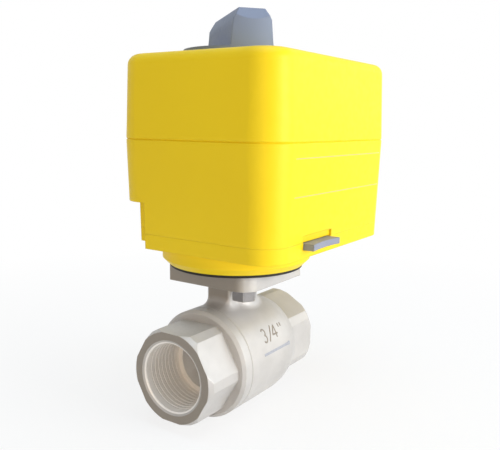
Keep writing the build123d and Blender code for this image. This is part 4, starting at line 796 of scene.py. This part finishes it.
def smooth_tree() -> bpy.types.NodeTree:
    """Makes the tree that welds a solid's triangles and shades its faces smooth up to sharp edges.

    Returns:
        The tree, the same one every time.
    """
    made = bpy.data.node_groups.get(SOFT_SHADING)
    if made is not None:
        return made
    g = Geometry(SOFT_SHADING, "Solid")
    weld = g.add("GeometryNodeMergeByDistance", Geometry=g.into.outputs["Solid"], Distance=WELD_DISTANCE)
    drop = g.add("GeometryNodeRemoveAttribute", Geometry=weld.outputs[0], Name="custom_normal")
    faces = g.add("GeometryNodeSetShadeSmooth", Geometry=drop.outputs[0], Shade_Smooth=True)
    angle = g.add("GeometryNodeInputMeshEdgeAngle").outputs["Unsigned Angle"]
    edges = g.add("GeometryNodeSetShadeSmooth", {"domain": "EDGE"}, Geometry=faces.outputs[0],
                  Selection=g.calc("GREATER_THAN", angle, SHARP_ANGLE), Shade_Smooth=False)
    g.feed(g.out.inputs[0], edges.outputs[0])
    return g.tree


def dress(finish: Finish, *nodes: str) -> None:
    """Gives CAD nodes their finish and soft shading.

    Args:
        finish: the finish.
        nodes: the nodes' names.
    """
    for node in nodes:
        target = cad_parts[node]
        if not target.data.materials:
            target.data.materials.append(None)
        for slot in target.material_slots:
            slot.link = "OBJECT"
            slot.material = finish.material()
        target.modifiers.new(SOFT_SHADING, "NODES").node_group = smooth_tree()
        target.modifiers.new("even_normals", "WEIGHTED_NORMAL").keep_sharp = True
        LOG.info("dressed %s with %s", node, finish.name)


@dataclass
class PortThread:
    """The parallel pipe thread in one port, as a rounded ridge along a helix.

    The ridge is one line swept by a round profile that thins out at both ends.
    """

    name: str
    start: float
    length: float = 15.0 * MM
    bore: float = 12.06 * MM
    pitch: float = 1.814 * MM
    ridge: float = 0.15 * MM
    steps: int = 90
    sides: int = 10
    run_out: float = 0.04
    thinnest: float = 0.05

    def taper(self, g: Geometry) -> Socket:
        """Thins the ridge out at both ends.

        Args:
            g: the thread's tree.

        Returns:
            What the ridge's radius is multiplied by along its line.
        """
        along = g.add("GeometryNodeSplineParameter").outputs["Factor"]
        ends = g.calc("MULTIPLY", g.remap(along, 0.0, self.run_out), g.remap(along, 1.0, 1.0 - self.run_out))
        return g.calc("MAXIMUM", ends, self.thinnest)

    def build(self) -> bpy.types.Object:
        """Builds the ridge in the port, from start along the pipe.

        Returns:
            The thread.
        """
        g = Geometry(self.name)
        turns = g.knob("Turns", Kind.NUMBER, self.length / self.pitch)
        bore = g.knob("Bore radius", Kind.NUMBER, self.bore)
        length = g.knob("Length", Kind.NUMBER, self.length)
        ridge = g.knob("Ridge radius", Kind.NUMBER, self.ridge)
        start = g.knob("Start", Kind.NUMBER, self.start)
        line = g.add("GeometryNodeCurveSpiral", Resolution=self.steps, Rotations=turns, Start_Radius=bore,
                     End_Radius=bore, Height=length, Reverse=False)
        upright = g.add("GeometryNodeSetCurveNormal", {"mode": "Z_UP"}, Curve=line.outputs[0])
        swept = g.sweep(upright.outputs[0], ridge, self.sides, self.taper(g))
        laid = g.add("GeometryNodeTransform", Geometry=swept, Rotation=(0.0, math.pi / 2, 0.0),
                     Translation=g.add("ShaderNodeCombineXYZ", X=start).outputs[0])
        g.finish(laid.outputs[0], NICKEL.material())
        return piece(self.name, g.mesh(self.name))


@dataclass
class Strokes:
    """Round strokes that follow a list of lines."""

    name: str
    lines: list[list[Vector]]
    half_width: float
    finish: Finish
    slot: Slot
    sides: int = 10

    def seed(self) -> bpy.types.Mesh:
        """Draws the lines.

        Returns:
            A mesh of points and edges.
        """
        mesh = bpy.data.meshes.new(self.name + "_seed")
        points: list[Vector] = []
        edges: list[tuple[int, int]] = []
        for line in self.lines:
            first = len(points)
            points.extend(line)
            edges.extend((i, i + 1) for i in range(first, len(points) - 1))
        mesh.from_pydata(points, edges, [])
        return mesh

    def build(self) -> bpy.types.Object:
        """Builds the strokes as one mesh.

        Returns:
            The strokes.
        """
        g = Geometry(self.name, "Lines")
        width = g.knob("Half width", Kind.NUMBER, self.half_width)
        curve = g.add("GeometryNodeMeshToCurve", Mesh=g.into.outputs["Lines"])
        g.finish(g.sweep(curve.outputs[0], width, self.sides), self.finish.material())
        return piece(self.name, g.mesh(self.name, self.seed()))


def divided(corners: Sequence[Spot], *steps: int) -> list[Spot]:
    """Divides the sides of an open line evenly.

    Args:
        corners: the line's corners.
        steps: the number of parts that each side gets.

    Returns:
        The corners, with the points between them.
    """
    out = [corners[0]]
    for (x, y), (next_x, next_y), count in zip(corners, corners[1:], steps):
        out += [(x + (next_x - x) * t / count, y + (next_y - y) * t / count) for t in range(1, count + 1)]
    return out


@dataclass(frozen=True)
class Arc:
    """An arc of an upright ellipse: its centre, its half width and half height, and its two angles."""

    centre: Spot
    size: Spot
    turn: Spot

    def points(self, steps: int) -> list[Spot]:
        """Draws the arc.

        Args:
            steps: the number of its parts.

        Returns:
            Points along it.
        """
        (x, y), (wide, high), (first, last) = self.centre, self.size, self.turn
        angles = [math.radians(first + (last - first) * i / steps) for i in range(steps + 1)]
        return [(x + wide * math.cos(a), y + high * math.sin(a)) for a in angles]


@dataclass(frozen=True)
class Character:
    """The place of one character along the pipe, in mm."""

    left: float
    width: float


@dataclass
class BarrelMark:
    """The plain size mark on the barrel, wrapped round its cylinder, with painted shade on its digits.

    Lengths are in mm. A place on the barrel is a distance along the pipe and an angle in degrees
    from the front towards the top. The digits are drawn in a unit square.
    """

    radius: float = 19.8
    proud: float = 0.13
    half_width: float = 0.33
    rule_half_width: float = 0.5
    sides: int = 40
    foot: float = 22.6
    head: float = 36.9
    three: Character = Character(31.0, 2.0)
    three_arcs: tuple[Arc, ...] = (Arc((0.45, 0.74), (0.5, 0.26), (150, -80)),
                                   Arc((0.42, 0.26), (0.55, 0.27), (80, -150)))
    three_steps: int = 14
    four: Character = Character(36.9, 3.2)
    four_corners: tuple[Spot, ...] = ((0.72, 0.0), (0.72, 1.0), (0.0, 0.3), (1.0, 0.3))
    four_steps: tuple[int, ...] = (8, 6, 6)
    slash: tuple[Spot, Spot] = ((34.2, 21.4), (37.2, 37.5))
    slash_steps: int = 8
    inch_places: Spot = (42.2, 43.6)
    inch_span: Spot = (32.0, 36.4)
    inch_steps: int = 4
    rule: tuple[Spot, Spot] = ((28.9, 10.8), (46.2, 10.8))
    rule_steps: int = 20

    def wire(self, half_width: float) -> float:
        """Returns the radius of a round stroke that stands proud and shows a half width at the face."""
        return (half_width ** 2 / self.proud + self.proud) / 2

    def wrapped(self, spots: list[Spot], wire: float) -> list[Vector]:
        """Lays the centres of a round stroke along the barrel's face.

        Args:
            spots: places on the barrel.
            wire: the stroke's radius.

        Returns:
            The points in metres.
        """
        radius = self.radius + self.proud - wire
        turned = [(x, math.radians(degrees)) for x, degrees in spots]
        return [Vector((x, -radius * math.cos(a), radius * math.sin(a))) * MM for x, a in turned]

    def written(self, character: Character, spots: list[Spot]) -> list[Spot]:
        """Moves spots of a unit square to a character's place on the barrel.

        Args:
            character: the character's place along the pipe.
            spots: points, across and up, from 0 to 1.

        Returns:
            Their places on the barrel.
        """
        return [(character.left + character.width * u, self.foot + (self.head - self.foot) * v)
                for u, v in spots]

    def build(self) -> None:
        """Builds the digits, the slash, the inch mark and the line below them."""
        three = [spot for bow in self.three_arcs for spot in bow.points(self.three_steps)]
        four = divided(self.four_corners, *self.four_steps)
        inch = [divided([(x, v) for v in self.inch_span], self.inch_steps) for x in self.inch_places]
        marks = [self.written(self.three, three), divided(self.slash, self.slash_steps),
                 self.written(self.four, four), *inch]
        rule = divided(self.rule, self.rule_steps)
        wire, rule_wire = self.wire(self.half_width), self.wire(self.rule_half_width)
        Strokes("size_rule", [self.wrapped(rule, rule_wire)], rule_wire * MM, RAISED_RULE, Slot.NICKEL,
                self.sides).build()
        Strokes("size_mark", [self.wrapped(line, wire) for line in marks], wire * MM, MARK_PAINTED_SHADE, Slot.NICKEL,
                self.sides).build()


@dataclass(frozen=True)
class PrintedLine:
    """One level line on the front face: its two ends and its height, in mm."""

    left: float
    right: float
    height: float


@dataclass
class PrintedRules:
    """Two thin printed lines on the drafted front face of the lower housing, with sizes in mm."""

    seam_y: float = -35.6
    seam_z: float = 80.3
    draft: float = 1.95
    half_width: float = 0.2
    sunk: float = 0.75
    steps: int = 24
    lines: tuple[PrintedLine, ...] = (PrintedLine(20.5, 86.6, 75.2), PrintedLine(20.6, 87.0, 62.6))

    def on_face(self, x: float, z: float) -> Vector:
        """Finds the place of a line's centre in the front face.

        Args:
            x: the distance along the pipe.
            z: the height.

        Returns:
            The point in metres.
        """
        lean = math.tan(math.radians(self.draft)) * abs(z - self.seam_z)
        return Vector((x, self.seam_y + lean + self.half_width * self.sunk, z)) * MM

    def build(self) -> bpy.types.Object:
        """Builds both lines.

        Returns:
            The lines as one piece.
        """
        lines = []
        for line in self.lines:
            spots = divided([(line.left, line.height), (line.right, line.height)], self.steps)
            lines.append([self.on_face(x, z) for x, z in spots])
        return Strokes("front_rules", lines, self.half_width * MM, INK, Slot.GREY).build()


@dataclass
class PipeValve:
    """The plated valve: its body, ball, seats and stem, with threads and a size mark."""

    outlet_x: float = 69.5 * MM
    thread_inset: float = 2.2 * MM

    def build(self) -> None:
        """Dresses the valve's nodes and builds its threads and mark."""
        dress(NICKEL, "valve_body", "end_connector")
        dress(PLATED_BALL, "ball")
        dress(SEAT, "seat_inlet", "seat_outlet", "thrust_washer")
        dress(BLACK_RUBBER, "connector_ring", "stem_ring_lower", "stem_ring_upper")
        dress(BRASS, "stem")
        inlet = PortThread("inlet_thread", self.thread_inset)
        inlet.build()
        PortThread("outlet_thread", self.outlet_x - self.thread_inset - inlet.length).build()
        BarrelMark().build()


@dataclass
class FlangeJoint:
    """The gasket and the two hexagon bolts between the valve and the actuator."""

    def build(self) -> None:
        """Dresses the joint's nodes."""
        dress(BLACK_RUBBER, "flange_gasket")
        dress(BOLT_STEEL, "flange_bolts")


@dataclass
class ActuatorShell:
    """The yellow box: turret, lower housing, cover, screws and seals."""

    def build(self) -> None:
        """Dresses the shell's nodes and builds its printed lines."""
        dress(YELLOW, "mounting_base", "base_housing", "top_cover")
        dress(BLACK_RUBBER, "rim_seal", "cable_grommet")
        dress(STEEL, "cover_screws")
        PrintedRules().build()


@dataclass
class ReturnSpring:
    """The round-wire spring behind the latch, with a closed coil at each end."""

    wire: float = 0.3 * MM
    turns: int = 7
    steps: int = 28
    travel: float = 2.4 * MM

    def rise(self, turn: float, length: float) -> float:
        """Works out how far along the spring the wire has come.

        Args:
            turn: the turns that it has made from the near end.
            length: the length between the wire's two ends.

        Returns:
            The distance from the near end.
        """
        close = 2 * self.wire
        open_turns = self.turns - 2
        open_pitch = (length - 2 * close) / open_turns
        return close * min(turn, 1.0) + open_pitch * min(max(turn - 1.0, 0.0), open_turns) \
            + close * max(turn - self.turns + 1, 0.0)

    def build(self) -> bpy.types.Object:
        """Builds the spring where the latch's solid one is, and hides the solid one.

        Returns:
            The spring.
        """
        low, high = (Vector(corner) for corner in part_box("latch_spring"))
        centre = (low + high) / 2
        radius = (high.x - low.x) / 2 - self.wire
        full = high.y - low.y
        near, length = low.y + self.wire, full - 2 * self.wire
        line = []
        for i in range(self.turns * self.steps + 1):
            turn = i / self.steps
            a = 2 * math.pi * turn
            line.append(Vector((centre.x + radius * math.cos(a), near + self.rise(turn, length),
                                centre.z + radius * math.sin(a))))
        made = Strokes("return_spring", [line], self.wire, STEEL, Slot.STEEL).build()
        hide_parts("latch_spring")
        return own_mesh(made)


@dataclass
class ReleaseLatch:
    """The push tongue that frees the actuator, and its spring."""

    def build(self) -> None:
        """Dresses the latch's nodes and builds its spring."""
        dress(LATCH_GREY, "latch_button")
        dress(STEEL, "latch_spring")
        ReturnSpring().build()


@dataclass
class GearTrain:
    """The motor, its gears and the plates that carry them."""

    def build(self) -> None:
        """Dresses the train's nodes."""
        dress(STEEL, "low_plate", "high_plate", "plate_spacers", "output_shaft", "shaft_clip", "idler_axle",
              "motor_screws", "motor_shaft")
        dress(GEAR_STEEL, "output_gear", "idler_gear", "motor_pinion")
        dress(BRASS, "bush_lower", "bush_upper")
        dress(MOTOR_CAN, "gear_motor")


@dataclass
class ControlBoard:
    """The circuit board with the switches and parts on it."""

    def build(self) -> None:
        """Dresses the board's nodes."""
        dress(BOARD, "circuit_board")
        dress(BRASS, "board_pillars")
        dress(STEEL, "board_screws")
        dress(BLACK_PLASTIC, "limit_cam", "switch_open", "switch_closed")
        dress(BLUE_PLASTIC, "relay")
        dress(CAN_ALUMINIUM, "capacitor")
        dress(TERMINAL_GREEN, "terminal_block")


@dataclass
class HandKnob:
    """The grey knob with its bar grip, circlip and seal."""

    def build(self) -> None:
        """Dresses the knob's nodes."""
        dress(KNOB_GREY, "manual_knob")
        dress(STEEL, "knob_ring")
        dress(BLACK_RUBBER, "knob_seal")


@dataclass(frozen=True)
class Lamp:
    """A square soft light: its place and side in metres, its power in watts and its tint."""

    name: str
    place: Point
    size: float
    power: float
    tint: Point = (1.0, 1.0, 1.0)

    def hang(self, aim: Point) -> None:
        """Hangs the lamp so that it faces a point.

        Args:
            aim: the point.
        """
        data = bpy.data.lights.new(self.name, "AREA")
        data.color = self.tint
        data.size = self.size
        data.energy = self.power
        light = bpy.data.objects.new(self.name, data)
        light.location = self.place
        light.rotation_euler = (Vector(aim) - Vector(self.place)).to_track_quat("-Z", "Y").to_euler()
        bpy.context.collection.objects.link(light)


@dataclass(frozen=True)
class Floor:
    """A round pale floor just under the object, with lengths in metres."""

    radius: float = 3.0
    sides: int = 96
    gap: float = 0.0002
    tones: tuple[str, str] = ("#F3F3F3", "#F7F7F7")
    mottle: Grain = Grain(8)
    roughness: float = 0.8
    specular: float = 0.2
    fade: Spot = (0.05, 0.3)
    least_glow: float = 0.8

    def material(self, centre: Point) -> bpy.types.Material:
        """Makes a pale surface that the eye sees fade to white away from the object.

        Args:
            centre: the point of the floor under the object.

        Returns:
            The material.
        """
        s = Shader("floor_pale")
        s.surface(Base_Color=s.blend(s.noise(self.mottle), *(linear(tone) for tone in self.tones)),
                  Roughness=self.roughness, Specular_IOR_Level=self.specular)
        path = s.add("ShaderNodeLightPath").outputs
        seen = s.calc("MAXIMUM", path["Is Camera Ray"], path["Is Glossy Ray"])
        away = s.remap(s.measure("DISTANCE", s.place, centre), *self.fade, self.least_glow, 1.0)
        mix = s.add("ShaderNodeMixShader", Fac=s.calc("MULTIPLY", away, seen))
        s.feed(mix.inputs[1], s.bsdf.outputs[0])
        s.feed(mix.inputs[2], s.add("ShaderNodeEmission").outputs[0])
        s.feed(s.out.inputs["Surface"], mix.outputs[0])
        return s.material

    def lay(self, aim: Point) -> None:
        """Lays the floor.

        Args:
            aim: the middle of the object.
        """
        low = CAD_BOX[0][2] - self.gap
        angles = [2 * math.pi * i / self.sides for i in range(self.sides)]
        rim = [(self.radius * math.cos(a), self.radius * math.sin(a), low) for a in angles]
        faces = [(0, i + 1, (i + 1) % self.sides + 1) for i in range(self.sides)]
        mesh = bpy.data.meshes.new("floor")
        mesh.from_pydata([(0.0, 0.0, low), *rim], [], faces)
        mesh.materials.append(self.material((aim[0], aim[1], low)))
        floor = bpy.data.objects.new("floor", mesh)
        bpy.context.collection.objects.link(floor)


@dataclass(frozen=True)
class PhotoCamera:
    """The camera at the photograph's angle: place in metres, turn in degrees, lens and sensor in mm."""

    eye: Point = (-0.15628, -0.13759, 0.08642)
    yaw: float = 34.1
    pitch: float = -9.1
    roll: float = 0.74
    lens: float = 45.96
    sensor: float = 36.0
    nearest: float = 0.005

    def build(self) -> None:
        """Places the camera and makes it the scene's."""
        yaw, pitch, roll = (math.radians(v) for v in (self.yaw, self.pitch, self.roll))
        ahead = Vector((math.cos(pitch) * math.cos(yaw), math.cos(pitch) * math.sin(yaw), math.sin(pitch)))
        right = Vector((math.sin(yaw), -math.cos(yaw), 0.0))
        up = right.cross(ahead)
        right_rolled = right * math.cos(roll) + up * math.sin(roll)
        up_rolled = up * math.cos(roll) - right * math.sin(roll)
        data = bpy.data.cameras.new("photo_camera")
        data.lens = self.lens
        data.sensor_width = self.sensor
        data.clip_start = self.nearest
        camera = bpy.data.objects.new("photo_camera", data)
        turn = Matrix((right_rolled, up_rolled, -ahead)).transposed()
        camera.matrix_world = Matrix.Translation(self.eye) @ turn.to_4x4()
        bpy.context.collection.objects.link(camera)
        bpy.context.scene.camera = camera


@dataclass
class Studio:
    """A pale floor, plain soft light and the camera."""

    aim: Point = (0.045, 0.0, 0.05)
    level: float = 0.34
    lamps: tuple[Lamp, ...] = (
        Lamp("key", (0.2, -1.0, 0.24), 0.62, 9.7),
        Lamp("side", (0.9, -0.6, 0.4), 0.6, 1.7, (0.78, 0.9, 1.0)),
        Lamp("fill", (-0.9, -0.4, 0.22), 0.5, 1.85, (1.0, 0.69, 0.37)),
        Lamp("top", (0.0, -0.1, 1.1), 0.8, 5.4, (0.66, 0.84, 1.0)),
    )
    floor: Floor = Floor()
    camera: PhotoCamera = PhotoCamera()

    def world(self) -> None:
        """Lights the scene evenly and shows white behind it."""
        world = bpy.data.worlds.new("studio")
        world.use_nodes = True
        bpy.context.scene.world = world
        n = Nodes(world.node_tree)
        n.tree.nodes.clear()
        path = n.add("ShaderNodeLightPath").outputs
        seen = n.calc("MAXIMUM", path["Is Camera Ray"], path["Is Glossy Ray"])
        clear = n.calc("MAXIMUM", seen, path["Is Transmission Ray"])
        background = n.add("ShaderNodeBackground", Color=WHITE,
                           Strength=n.remap(clear, 0.0, 1.0, self.level, 1.0))
        n.add("ShaderNodeOutputWorld", Surface=background.outputs[0])

    def build(self) -> None:
        """Sets the view, the light, the floor and the camera."""
        bpy.context.scene.view_settings.view_transform = "Standard"
        self.world()
        for lamp in self.lamps:
            lamp.hang(self.aim)
        self.floor.lay(self.aim)
        self.camera.build()
        LOG.info("set the studio")


def main() -> None:
    """Builds the dressed valve in order."""
    logging.basicConfig(level=logging.INFO, format="%(message)s")
    for assembly in (PipeValve(), FlangeJoint(), ActuatorShell(), ReleaseLatch(), GearTrain(), ControlBoard(),
                     HandKnob(), Studio()):
        assembly.build()
        LOG.info("done with %s", type(assembly).__name__)


if __name__ == "__main__":
    main()
